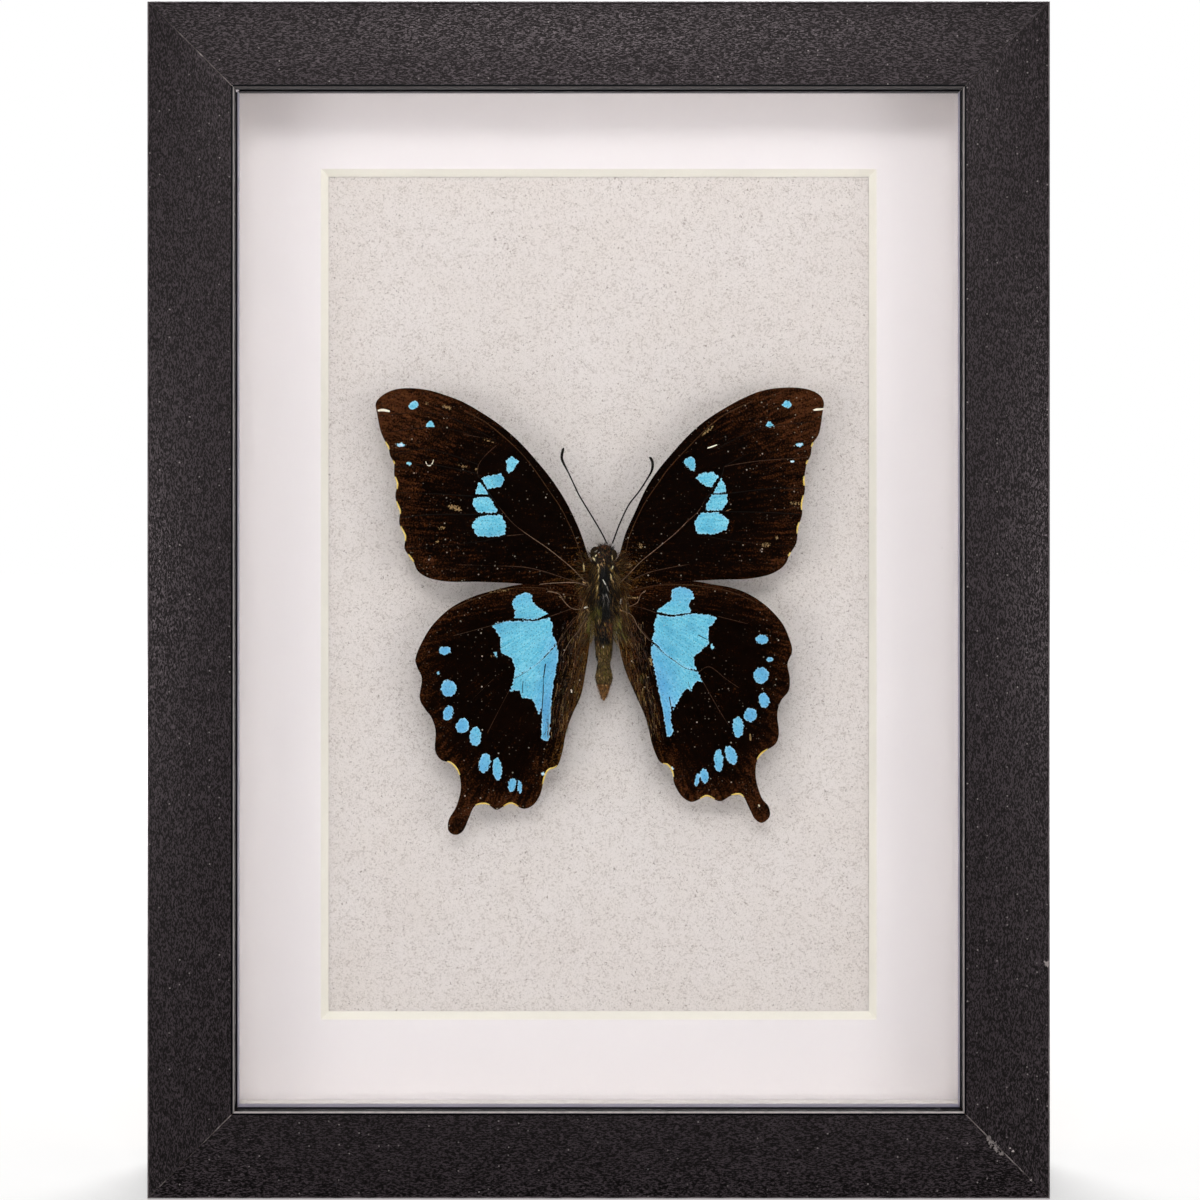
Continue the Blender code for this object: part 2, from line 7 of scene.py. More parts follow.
import bmesh
import bpy
import numpy as np
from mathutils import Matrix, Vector


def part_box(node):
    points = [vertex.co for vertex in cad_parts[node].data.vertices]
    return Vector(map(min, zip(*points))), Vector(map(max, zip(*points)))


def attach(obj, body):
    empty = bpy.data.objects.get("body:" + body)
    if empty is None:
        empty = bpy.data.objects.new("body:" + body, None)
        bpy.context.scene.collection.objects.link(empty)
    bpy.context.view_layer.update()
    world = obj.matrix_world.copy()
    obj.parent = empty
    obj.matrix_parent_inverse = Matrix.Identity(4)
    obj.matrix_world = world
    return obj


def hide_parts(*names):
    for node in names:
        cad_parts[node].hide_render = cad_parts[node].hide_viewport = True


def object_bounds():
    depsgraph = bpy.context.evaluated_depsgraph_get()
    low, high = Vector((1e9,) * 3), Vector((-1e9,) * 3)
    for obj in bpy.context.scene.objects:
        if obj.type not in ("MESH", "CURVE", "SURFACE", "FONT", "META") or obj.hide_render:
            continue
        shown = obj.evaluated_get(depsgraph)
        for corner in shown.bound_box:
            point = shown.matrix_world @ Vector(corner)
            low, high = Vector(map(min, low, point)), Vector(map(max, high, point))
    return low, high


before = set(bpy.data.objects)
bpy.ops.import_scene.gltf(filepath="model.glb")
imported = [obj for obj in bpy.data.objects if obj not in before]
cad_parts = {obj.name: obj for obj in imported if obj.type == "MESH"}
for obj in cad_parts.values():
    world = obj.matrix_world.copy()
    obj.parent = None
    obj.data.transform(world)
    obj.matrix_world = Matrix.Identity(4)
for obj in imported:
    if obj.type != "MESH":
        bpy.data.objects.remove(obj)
cadLow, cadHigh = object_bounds()
bpy.ops.object.select_all(action="DESELECT")

mm = 0.001
frontY = cadLow.y
width, height = (cadHigh.x - cadLow.x) / mm, (cadHigh.z - cadLow.z) / mm
depth = (cadHigh.y - cadLow.y) / mm
chance = np.random.default_rng(7)


def at(right, up, back):
    # millimetres right of the middle, above the foot, behind the front face
    return Vector((right * mm, frontY + back * mm, up * mm))


# selection and edit mode, with faces, points and edges picked by their place in millimetres
def lone(obj):
    bpy.ops.object.select_all(action="DESELECT")
    obj.select_set(True)
    bpy.context.view_layer.objects.active = obj


def enter(obj, kind="FACE"):
    lone(obj)
    bpy.ops.object.mode_set(mode="EDIT")
    bpy.ops.mesh.select_mode(type=kind)
    bpy.ops.mesh.select_all(action="DESELECT")


def leave():
    bpy.ops.object.mode_set(mode="OBJECT")


def pickFaces(obj, test):
    mesh = bmesh.from_edit_mesh(obj.data)
    for face in mesh.faces:
        face.select_set(bool(test(face.calc_center_median() / mm, face.normal)))
    bmesh.update_edit_mesh(obj.data)


def pickVerts(obj, test):
    mesh = bmesh.from_edit_mesh(obj.data)
    for vert in mesh.verts:
        vert.select_set(bool(test(vert.co / mm)))
    mesh.select_flush_mode()
    bmesh.update_edit_mesh(obj.data)


def pickEdges(obj, test):
    mesh = bmesh.from_edit_mesh(obj.data)
    for edge in mesh.edges:
        edge.select_set(all(test(vert.co / mm) for vert in edge.verts))
    bmesh.update_edit_mesh(obj.data)


def pointsOf(mesh):
    rows = np.empty(len(mesh.vertices) * 3)
    mesh.vertices.foreach_get("co", rows)
    return rows.reshape(-1, 3)


def push(right=0.0, back=0.0, up=0.0):
    bpy.ops.transform.translate(value=(right * mm, back * mm, up * mm))


def applyPlace(obj):
    lone(obj)
    bpy.ops.object.transform_apply(location=True, rotation=True, scale=True)


def applyModifiers(obj):
    lone(obj)
    for modifier in list(obj.modifiers):
        bpy.ops.object.modifier_apply(modifier=modifier.name)


def smooth(obj, degrees):
    lone(obj)
    bpy.ops.object.shade_smooth_by_angle(angle=math.radians(degrees))


def joinTo(obj, others):
    lone(obj)
    for other in others:
        other.select_set(True)
    bpy.ops.object.join()
    return obj


def settle(obj, slot, *nodes):
    # every piece rides on the one body and stands for its CAD nodes
    applyPlace(obj)
    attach(obj, "root")
    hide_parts(*nodes)
    obj.select_set(False)


def curveThrough(points, steps):
    # a Catmull-Rom curve, open at both ends
    points = [np.array(p, float) for p in points]
    line = []
    for i in range(len(points) - 1):
        a, b = points[max(i - 1, 0)], points[i]
        c, d = points[i + 1], points[min(i + 2, len(points) - 1)]
        for step in range(steps):
            t = step / steps
            line.append(0.5 * (2 * b + (c - a) * t + (2 * a - 5 * b + 4 * c - d) * t**2
                               + (3 * b - a - 3 * c + d) * t**3))
    return np.array([*line, points[-1]])


def lengthsAlong(line):
    return np.r_[0, np.cumsum(np.linalg.norm(np.diff(line, axis=0), axis=1))]


# colours and nodes
def fromHex(code):
    channels = [int(code[i : i + 2], 16) / 255 for i in (0, 2, 4)]
    return (*[c / 12.92 if c <= 0.04045 else ((c + 0.055) / 1.055) ** 2.4 for c in channels], 1.0)


def feed(node, inputs):
    # an input takes a value, a colour, a socket, or a node, which gives its first output in use
    for key, value in inputs.items():
        if isinstance(value, bpy.types.Node):
            value = next(o for o in value.outputs if o.enabled)
        if isinstance(value, bpy.types.NodeSocket):
            node.id_data.links.new(value, node.inputs[key])
        else:
            node.inputs[key].default_value = fromHex(value) if isinstance(value, str) else value


def addNode(tree, kind, inputs=None, **settings):
    made = tree.nodes.new("ShaderNode" + kind)
    for name, value in settings.items():
        setattr(made, name, value)
    feed(made, inputs or {})
    return made


def newMaterial(name):
    # a material, what adds its nodes, its shader, and the piece's own coordinates in millimetres
    made = bpy.data.materials.new(name)
    made.use_nodes = True
    add = partial(addNode, made.node_tree)
    place = add("TexCoord").outputs["Object"]
    inMm = add("Mapping", {"Vector": place, "Scale": (1 / mm, 1 / mm, 1 / mm)})
    return made, add, made.node_tree.nodes["Principled BSDF"], inMm


blend = {"data_type": "RGBA"}
soft = {"interpolation_type": "SMOOTHSTEP"}
inPlane = {"voronoi_dimensions": "2D"}
facePlane = (math.radians(90), 0, 0)  # turns the frame's face into a texture's own plane

print("frame loaded, %.1f x %.1f x %.1f mm" % (width, depth, height))

rail = {
    "face": 14.75, "slope": 0.1, "bead": 0.25, "beadDepth": 2.8, "lip": 5.5, "wall": 11.6,
    "round": 0.6, "arris": 0.3, "jointGap": 0.03,
}
foil = {
    # the lip and the outer edge carry painted light: a painted highlight on the worn arris and on
    # the outer edge's rounding, and a painted bluish light on the lip's bead
    "dark": "020101", "pale": "463e42", "fleck": "a29a98", "cut": "d2c6c2", "lip": "050408",
    "core": "efe6ea", "paintedBeadLight": "bcb8cc", "worn": "f4eae8", "paintedEdgeHighlight": "8c8284", "sheen": "fff0f2",
    # the embossing: grain across and its stretch along, grit, their mix, and how far it tones
    "grain": 0.24, "run": 3.0, "grit": 0.12, "gritShare": 0.45, "tone": (0.68, 0.94),
    "relief": 0.03, "roughness": 0.36, "uneven": 0.12, "gloss": 0.3, "edge": 0.45,
    # flecks as for scatteredPoints, and the place of the nick in the lip
    "flecks": (1.7, 0.1, 0.86, 0.7), "nick": (-62.1, frontY / mm + 2.85, 189.55),
    # stretches of joint that show the core: middle, reach and strength, and what the rest shows;
    # chips: place, reach and strength
    "joints": [(-66.8, 194.3, 7.4, 0.5), (-67.9, 195.2, 1.5, 1.0), (68.4, 8.4, 9.8, 0.5),
               (-64.2, 12.0, 4.3, 0.5), (-73.9, 2.2, 1.2, 0.3)],
    "closed": 0.06,
    "scuffs": [(76.4, 40.2, 1.2, 0.45), (66.4, 10.4, 1.0, 0.3), (67.1, 9.5, 1.4, 0.32),
               (67.9, 8.7, 1.3, 0.32), (68.8, 7.7, 1.0, 0.3), (70.1, 8.7, 0.42, 0.7),
               (70.6, 8.2, 0.42, 0.7), (73.7, 3.3, 0.45, 0.7)],
}


def scatteredPoints(add, place, size, reach, bare, strength):
    # a round point in some cells: the cells' size in mm, point radius over cell, share left bare
    dots = add("TexVoronoi", {"Vector": place, "Scale": 1 / size}, **inPlane)
    point = add("MapRange", {0: dots, 1: reach, 2: reach * 0.5}, **soft)
    pick = add("SeparateColor", {"Color": dots.outputs["Color"]})
    some = add("MapRange", {0: pick, 1: bare, 2: 1.0, 3: 0.0, 4: strength})
    return add("Math", {0: point, 1: some}, operation="MULTIPLY")


def openMitres(add, inMm, axes, worn):
    # a hair of pale core along |x| - |z| = the frame's half width less its half height
    across = add("Math", {0: axes.outputs[0]}, operation="ABSOLUTE")
    raised = add("Math", {0: axes.outputs[2], 1: height / 2}, operation="SUBTRACT")
    upward = add("Math", {0: raised}, operation="ABSOLUTE")
    apart = add("Math", {0: upward, 1: across}, operation="SUBTRACT")
    offMitre = add("Math", {0: apart, 1: (height - width) / 2}, operation="SUBTRACT")
    distance = add("Math", {0: offMitre}, operation="ABSOLUTE")
    hairline = add("MapRange", {0: distance, 1: 0.16, 2: 0.07}, **soft)
    broken = add("MapRange", {0: worn, 1: 0.34, 2: 0.6, 3: 0.15, 4: 1.0}, **soft)
    gaping = foil["closed"]
    for right, up, reach, strength in foil["joints"]:
        gap = add("VectorMath", {0: inMm, 1: (right, frontY / mm, up)}, operation="DISTANCE")
        near = add("MapRange", {0: gap, 1: reach, 2: reach * 0.7, 3: 0.0, 4: strength})
        gaping = add("Math", {0: near, 1: gaping}, operation="MAXIMUM")
    pale = add("Math", {0: hairline, 1: broken}, operation="MULTIPLY")
    return add("Math", {0: pale, 1: gaping}, operation="MULTIPLY")


def chippedCore(add, inMm, pale):
    # ragged chips that show the core, added to what already shows it
    ragged = add("TexNoise", {"Vector": inMm, "Scale": 1 / 0.35, "Detail": 3.0})
    for right, up, reach, strength in foil["scuffs"]:
        gap = add("VectorMath", {0: inMm, 1: (right, frontY / mm, up)}, operation="DISTANCE")
        near = add("MapRange", {0: gap, 1: reach, 2: 0.0, 3: 0.0, 4: 0.6})
        both = add("Math", {0: near, 1: ragged}, operation="ADD")
        chip = add("MapRange", {0: both, 1: 0.84, 2: 0.94, 4: strength}, **soft)
        pale = add("Math", {0: pale, 1: chip}, operation="MAXIMUM")
    return pale


def embossedFoil(name, upright):
    # paper foil printed near black and embossed with a fine wood grain that runs along the rail:
    # a dull violet-grey sheen under a lamp, and a pale core where a mitre or an edge is chipped
    made, add, shader, inMm = newMaterial(name)
    along = 1 / foil["run"]
    stretch = (1, 1, along) if upright else (along, 1, 1)
    inGrain = add("Mapping", {"Vector": inMm, "Scale": stretch})
    grain = add("TexNoise", {"Vector": inGrain, "Scale": 1 / foil["grain"], "Detail": 2.0,
                             "Roughness": 0.7})
    pits = add("TexVoronoi", {"Vector": inGrain, "Scale": 1 / foil["grit"]})
    grit = add("SeparateColor", {"Color": pits.outputs["Color"]})
    weave = add("Math", {0: grit, 1: foil["gritShare"], 2: grain}, operation="MULTIPLY_ADD")
    low, high = foil["tone"]
    shade = add("MapRange", {0: weave, 1: low, 2: high}, **soft)
    base = add("Mix", {0: shade, 6: foil["dark"], 7: foil["pale"]}, **blend)
    # the flecks lie in the plane of the front face, so the sides and the top have none
    axes = add("SeparateXYZ", {0: inMm})
    back = add("Math", {0: axes.outputs[1], 1: frontY / mm}, operation="SUBTRACT")
    inFace = add("Mapping", {"Vector": inMm, "Rotation": facePlane})
    fleck = scatteredPoints(add, inFace, *foil["flecks"])
    onFront = add("MapRange", {0: back, 1: 0.06, 2: 0.02})
    fleck = add("Math", {0: fleck, 1: onFront}, operation="MULTIPLY")
    flecked = add("Mix", {0: fleck, 6: base, 7: foil["fleck"]}, **blend)
    worn = add("TexNoise", {"Vector": inMm, "Scale": 1 / 2.6, "Detail": 3.0})
    pale = chippedCore(add, inMm, openMitres(add, inMm, axes, worn))

    # a painted highlight along the rounding of the outer edge, broken in patches like rubbed foil
    onTurn = add("MapRange", {0: back, 1: 0.04, 2: 0.1})
    offTurn = add("MapRange", {0: back, 1: 0.5, 2: 0.25})
    patchy = add("MapRange", {0: worn, 1: 0.35, 2: 0.65, 3: 0.25, 4: 0.8})
    rubbed = add("Math", {0: onTurn, 1: offTurn}, operation="MULTIPLY")
    rubbed = add("Math", {0: rubbed, 1: patchy}, operation="MULTIPLY")
    colour = add("Mix", {0: rubbed, 6: flecked, 7: foil["paintedEdgeHighlight"]}, **blend)
    colour = add("Mix", {0: pale, 6: colour, 7: foil["cut"]}, **blend)

    rough = add("MapRange", {0: weave, 1: low, 2: high, 3: foil["roughness"] + foil["uneven"],
                             4: foil["roughness"] - foil["uneven"]})
    relief = add("Bump", {"Height": weave, "Strength": 1.0, "Distance": foil["relief"] * mm})
    feed(shader, {"Specular IOR Level": foil["gloss"], "Specular Tint": foil["sheen"],
                  "Base Color": colour, "Roughness": rough, "Normal": relief})
    return made


def rawFibreboard():
    # medium-density fibreboard as sawn: matt light brown with short fibres
    made, add, shader, inMm = newMaterial("sawnFibreboard")
    fibres = add("TexNoise", {"Vector": inMm, "Scale": 1 / 0.5, "Detail": 4.0, "Distortion": 1.2})
    colour = add("Mix", {0: fibres, 6: "6f543a", 7: "a98a64"}, **blend)
    relief = add("Bump", {"Height": fibres, "Strength": 0.4, "Distance": 0.05 * mm})
    feed(shader, {"Roughness": 0.9, "Base Color": colour, "Normal": relief})
    return made


def rubbedLipWithPaintedLight():
    # the foil's turn to the glass: smooth black, worn pale on the arris with a painted highlight
    # that is brightest where it faces up, black down the slope, and a painted bluish light on the
    # bead and the wall behind it, except where a face hangs downwards
    made, add, shader, inMm = newMaterial("rubbedFoilLipPaintedLight")
    rub = add("TexNoise", {"Vector": inMm, "Scale": 1 / 0.9, "Detail": 3.0})
    facing = add("SeparateXYZ", {0: add("NewGeometry").outputs["True Normal"]})
    axes = add("SeparateXYZ", {0: inMm})
    back = add("Math", {0: axes.outputs[1], 1: frontY / mm}, operation="SUBTRACT")
    onArris = add("MapRange", {0: back, 1: 0.7, 2: 0.4})
    offFace = add("MapRange", {0: back, 1: 0.01, 2: 0.03})
    onBead = add("MapRange", {0: back, 1: rail["beadDepth"] + 0.05, 2: rail["beadDepth"] + 0.3})
    # painted highlight: the worn arris is fully pale where it faces up and only a tenth as pale
    # where it hangs down
    arrisFacingLight = add("MapRange", {0: facing.outputs[2], 1: -0.5, 2: 0.9, 3: 0.1, 4: 1.0})
    # painted light: the bead and the wall behind it turn pale bluish where they face up or
    # sideways, not where they hang down
    beadFacingLight = add("MapRange", {0: facing.outputs[2], 1: -0.5, 2: -0.15, 3: 0.03, 4: 1.0})
    uneven = add("MapRange", {0: rub, 1: 0.2, 2: 0.7, 3: 0.7, 4: 1.0})
    arris = onArris
    for share in (arrisFacingLight, uneven, offFace):
        arris = add("Math", {0: arris, 1: share}, operation="MULTIPLY")
    bead = add("Math", {0: onBead, 1: beadFacingLight}, operation="MULTIPLY")
    colour = add("Mix", {0: arris, 6: foil["lip"], 7: foil["worn"]}, **blend)
    colour = add("Mix", {0: bead, 6: colour, 7: foil["paintedBeadLight"]}, **blend)
    gap = add("VectorMath", {0: inMm, 1: foil["nick"]}, operation="DISTANCE")
    nick = add("MapRange", {0: gap, 1: 0.55, 2: 0.4}, **soft)
    colour = add("Mix", {0: nick, 6: colour, 7: foil["core"]}, **blend)
    relief = add("Bump", {"Height": rub, "Strength": 0.1, "Distance": 0.02 * mm})
    feed(shader, {"Roughness": 0.35, "Specular IOR Level": 0.08, "Base Color": colour,
                  "Normal": relief})
    return made


foilLip = rubbedLipWithPaintedLight()
foilAcross = embossedFoil("embossedBlackFoilAcross", False)
foilUpright = embossedFoil("embossedBlackFoilUpright", True)
fibreboard = rawFibreboard()


def makeRail(name, length, turn, corner, skin, node):
    # built lying along X with the opening above it: x along, z in from the outer edge
    reach = rail["face"] + rail["slope"]
    bpy.ops.mesh.primitive_cube_add(size=1, location=(0, rail["lip"] / 2 * mm, reach / 2 * mm))
    bar = bpy.context.object
    bar.name = name
    bar.scale = (length * mm, rail["lip"] * mm, reach * mm)
    applyPlace(bar)
    enter(bar)
    bpy.ops.mesh.select_all(action="SELECT")
    bpy.ops.mesh.bisect(plane_co=(0, 0, rail["wall"] * mm), plane_no=(0, 0, 1))
    pickFaces(bar, lambda c, n: n.y > 0.9 and c.z < rail["wall"])
    bpy.ops.mesh.extrude_region_move(
        TRANSFORM_OT_translate={"value": (0, (depth - rail["lip"]) * mm, 0)})
    bpy.ops.mesh.select_all(action="SELECT")
    bpy.ops.mesh.bisect(plane_co=(0, 0, (rail["face"] - foil["edge"]) * mm), plane_no=(0, 0, 1))
    # the lip: a slope down from the face, then a quarter-round bead that stands out over the glass
    bpy.ops.mesh.select_all(action="SELECT")
    bpy.ops.mesh.bisect(plane_co=(0, rail["beadDepth"] * mm, 0), plane_no=(0, 1, 0))
    pickFaces(bar, lambda c, n: n.z > 0.9 and c.y > rail["beadDepth"] and c.z > rail["wall"] + 0.1)
    bpy.ops.mesh.extrude_region_move(TRANSFORM_OT_translate={"value": (0, 0, rail["bead"] * mm)})
    bpy.ops.mesh.select_mode(type="VERT")
    pickVerts(bar, lambda p: p.z > rail["face"] + 0.1 and p.y < 0.01)
    push(up=-rail["slope"])
    bpy.ops.mesh.select_mode(type="EDGE")
    pickEdges(bar, lambda p: p.y < 0.01 and p.z < 0.01)
    bpy.ops.mesh.bevel(offset=rail["round"] * mm, segments=5)
    pickEdges(bar, lambda p: p.y < 0.01 and p.z > rail["face"] - 0.01)
    bpy.ops.mesh.bevel(offset=rail["arris"] * mm, segments=4)
    pickEdges(bar, lambda p: p.y > depth - 0.01 and p.z < 0.01)
    bpy.ops.mesh.bevel(offset=rail["round"] * mm, segments=2)
    crest = reach + rail["bead"]
    pickEdges(bar, lambda p: abs(p.y - rail["beadDepth"]) < 0.01 and p.z > crest - 0.01)
    bpy.ops.mesh.bevel(offset=0.95 * rail["bead"] * mm, segments=6)
    for side in (-1, 1):
        bpy.ops.mesh.select_all(action="SELECT")
        bpy.ops.mesh.bisect(plane_co=(side * (length / 2 - rail["jointGap"]) * mm, 0, 0),
                            plane_no=(side, 0, 1), use_fill=True, clear_outer=True)
    # the foil is wrapped round the front, the sides and the lip, and the back is bare board
    for material in (skin, fibreboard, foilLip):
        bar.data.materials.append(material)
    mesh = bmesh.from_edit_mesh(bar.data)
    for face in mesh.faces:
        spot = face.calc_center_median() / mm
        inRebate = spot.y > rail["lip"] - 0.01 and spot.z > 1.0
        atMitre = abs(face.normal.x) > 0.5
        onLip = spot.z > rail["face"] - foil["edge"] + 0.01 and spot.y < rail["lip"] + 0.01
        face.material_index = 1 if inRebate or atMitre else 2 if onLip else 0
    bmesh.update_edit_mesh(bar.data)
    leave()
    bar.rotation_euler = (0, math.radians(turn), 0)
    bar.location = at(*corner, 0)
    smooth(bar, 35)
    settle(bar, "black_rail", node)


makeRail("foilRailBottom", width, 0, (0, 0), foilAcross, "rail_bottom")
makeRail("foilRailTop", width, 180, (0, height), foilAcross, "rail_top")
makeRail("foilRailLeft", height, 90, (-width / 2, height / 2), foilUpright, "rail_left")
makeRail("foilRailRight", height, -90, (width / 2, height / 2), foilUpright, "rail_right")
print("four mitred rails")


def floatGlass():
    # clear float glass: nothing of its own but a faint sheen; lamps shine through the thin pane
    made, add, shader, inMm = newMaterial("clearFloatGlass")
    wave = add("TexNoise", {"Vector": inMm, "Scale": 1 / 40.0})
    relief = add("Bump", {"Height": wave, "Strength": 0.02, "Distance": 0.1 * mm})
    feed(shader, {"Base Color": "ffffff", "Roughness": 0.0, "IOR": 1.52,
                  "Transmission Weight": 1.0, "Normal": relief})
    ray = add("LightPath").outputs["Is Shadow Ray"]
    clear = add("BsdfTransparent", {"Color": "f7f8f7"})
    through = add("MixShader", {0: ray, 1: shader, 2: clear})
    feed(made.node_tree.nodes["Material Output"], {"Surface": through})
    return made


mat = {"surface": "efe8ea", "tooth": 0.35, "core": "f3eee4", "speck": "b9a9a4", "speckSize": 3.2}


def matBoard():
    # white-core picture mat: a smooth uncoated paper face, and a creamier core on the cut bevel
    made, add, shader, inMm = newMaterial("whiteMatBoardCreamCore")
    tooth = add("TexNoise", {"Vector": inMm, "Scale": 1 / mat["tooth"], "Detail": 3.0})
    toned = add("MapRange", {0: tooth, 1: 0.3, 2: 0.7, 3: 0.0, 4: 0.12})
    face = add("Mix", {0: toned, 6: mat["surface"], 7: "d6cfd0"}, **blend)
    dots = add("TexVoronoi", {"Vector": inMm, "Scale": 1 / mat["speckSize"]})
    small = add("MapRange", {0: dots, 1: 0.05, 2: 0.02}, **soft)
    rare = add("SeparateColor", {"Color": dots.outputs["Color"]})
    some = add("MapRange", {0: rare, 1: 0.6, 2: 0.8, 3: 0.0, 4: 0.5})
    speck = add("Math", {0: small, 1: some}, operation="MULTIPLY")
    face = add("Mix", {0: speck, 6: face, 7: mat["speck"]}, **blend)
    facing = add("SeparateXYZ", {0: add("NewGeometry").outputs["True Normal"]})
    slant = add("Math", {0: facing.outputs[1]}, operation="ABSOLUTE")
    bevel = add("MapRange", {0: slant, 1: 0.97, 2: 0.9})
    colour = add("Mix", {0: bevel, 6: face, 7: mat["core"]}, **blend)
    relief = add("Bump", {"Height": tooth, "Strength": 0.15, "Distance": 0.03 * mm})
    feed(shader, {"Roughness": 0.85, "Specular IOR Level": 0.2, "Base Color": colour,
                  "Normal": relief})
    return made


paper = {"ground": "dfd8d6", "warm": "dad1cc", "fleck": "a3968f", "dark": "7d726c", "fibre": 0.3}


def fleckedPaper():
    # recycled paper: a warm grey ground thick with short darker fibres and flecks
    made, add, shader, inMm = newMaterial("fleckedRecycledPaper")
    cloud = add("TexNoise", {"Vector": inMm, "Scale": 1 / 12.0, "Detail": 3.0})
    ground = add("Mix", {0: cloud, 6: paper["ground"], 7: paper["warm"]}, **blend)
    fine = add("TexNoise", {"Vector": inMm, "Scale": 1 / paper["fibre"], "Detail": 2.0,
                            "Roughness": 0.6, "Distortion": 0.8})
    thick = add("TexNoise", {"Vector": inMm, "Scale": 1 / 2.4, "Detail": 3.0})
    shift = add("MapRange", {0: thick, 1: 0.3, 2: 0.7, 3: -0.05, 4: 0.05})
    both = add("Math", {0: fine, 1: shift}, operation="ADD")
    mottle = add("MapRange", {0: both, 1: 0.5, 2: 0.68, 3: 0.0, 4: 0.6}, **soft)
    flecked = add("Mix", {0: mottle, 6: ground, 7: paper["fleck"]}, **blend)
    specks = add("TexNoise", {"Vector": inMm, "Scale": 1 / 0.42, "Detail": 1.0, "Distortion": 1.0})
    few = add("MapRange", {0: specks, 1: 0.68, 2: 0.74, 3: 0.0, 4: 0.75}, **soft)
    colour = add("Mix", {0: few, 6: flecked, 7: paper["dark"]}, **blend)
    relief = add("Bump", {"Height": fine, "Strength": 0.3, "Distance": 0.05 * mm})
    feed(shader, {"Roughness": 0.95, "Specular IOR Level": 0.1, "Base Color": colour,
                  "Normal": relief})
    return made


def plainBoard(name, low, high, grain, roughness, relief):
    # card, foam or pressed fibre by its two tones and the size of its grain in millimetres
    made, add, shader, inMm = newMaterial(name)
    fibres = add("TexNoise", {"Vector": inMm, "Scale": 1 / grain, "Detail": 4.0, "Distortion": 0.8})
    spread = add("MapRange", {0: fibres, 1: 0.3, 2: 0.7})
    colour = add("Mix", {0: spread, 6: low, 7: high}, **blend)
    bump = add("Bump", {"Height": fibres, "Strength": 0.3, "Distance": relief * mm})
    feed(shader, {"Roughness": roughness, "Base Color": colour, "Normal": bump})
    return made


def platedSteel(name, tone, dull, roughness):
    # thin rolled steel with a plated skin: fine rolling lines and duller blotches
    made, add, shader, inMm = newMaterial(name)
    inLines = add("Mapping", {"Vector": inMm, "Scale": (0.06, 1, 1)})
    lines = add("TexNoise", {"Vector": inLines, "Scale": 1 / 0.12, "Detail": 2.0})
    blotch = add("TexNoise", {"Vector": inMm, "Scale": 1 / 2.5, "Detail": 3.0})
    colour = add("Mix", {0: blotch, 6: tone, 7: dull}, **blend)
    rough = add("MapRange", {0: blotch, 1: 0.3, 2: 0.7, 3: roughness - 0.08, 4: roughness + 0.12})
    bump = add("Bump", {"Height": lines, "Strength": 0.2, "Distance": 0.02 * mm})
    feed(shader, {"Metallic": 1.0, "Base Color": colour, "Roughness": rough, "Normal": bump})
    return made


def dress(node, material):
    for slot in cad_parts[node].material_slots:
        slot.material = material


whiteCard = plainBoard("whiteSpacerCard", "e6e1dc", "f3f0ec", 0.8, 0.85, 0.03)
dress("glass", floatGlass())
dress("window_mat", matBoard())
dress("backing_paper", fleckedPaper())
dress("pinning_foam", plainBoard("expandedFoamBoard", "e9e7e2", "f6f4f0", 1.5, 0.8, 0.08))
dress("back_board", plainBoard("pressedHardboard", "5f432b", "8c6844", 0.7, 0.7, 0.06))
for side in ("bottom", "top", "left", "right"):
    dress("spacer_" + side, whiteCard)
dress("pin", platedSteel("polishedSteelPin", "c9c8c4", "a7a6a3", 0.2))
print("glass, mat, paper and boards")

tab = {"corner": 1.4, "rib": 1.6, "press": 0.12}
zinc = platedSteel("zincPlatedTab", "b4b6b8", "9da0a2", 0.5)


def cutPlate(name, node, corner, steps):
    # a plate as large as its CAD node, with its corners rounded, left in edit mode
    low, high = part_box(node)
    bpy.ops.mesh.primitive_cube_add(size=1, location=(low + high) / 2)
    plate = bpy.context.object
    plate.name = name
    plate.scale = high - low
    applyPlace(plate)
    enter(plate, "EDGE")
    mesh = bmesh.from_edit_mesh(plate.data)
    for edge in mesh.edges:
        run = edge.verts[0].co - edge.verts[1].co
        edge.select_set(abs(run.y) > max(abs(run.x), abs(run.z)))
    bmesh.update_edit_mesh(plate.data)
    bpy.ops.mesh.bevel(offset=corner * mm, segments=steps)
    return plate


def makeTab(node):
    # a stamped steel tab with round corners and a pressed rib
    plate = cutPlate(node.replace("tab_", "steelTab_"), node, tab["corner"], 4)
    bpy.ops.mesh.select_mode(type="FACE")
    pickFaces(plate, lambda c, n: n.y > 0.9)
    bpy.ops.mesh.inset(thickness=tab["rib"] * mm, depth=0)
    bpy.ops.mesh.inset(thickness=tab["press"] * mm, depth=-tab["press"] * mm)
    leave()
    plate.data.materials.append(zinc)
    smooth(plate, 30)
    settle(plate, "zinc_tab", node)


for node in sorted(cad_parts):
    if node.startswith("tab_"):
        makeTab(node)

hanger = {
    "teeth": 9, "toothBand": 24.0, "toothDepth": 1.3, "corner": 3.0, "raise": 0.55, "ramp": 2.5,
}
brass = platedSteel("brassPlatedHanger", "d6b56c", "b0904e", 0.4)
brad = {"shank": 0.5, "head": [(0.0, 1.2), (0.25, 1.2), (0.12, 0.85)]}  # head: step out, radius


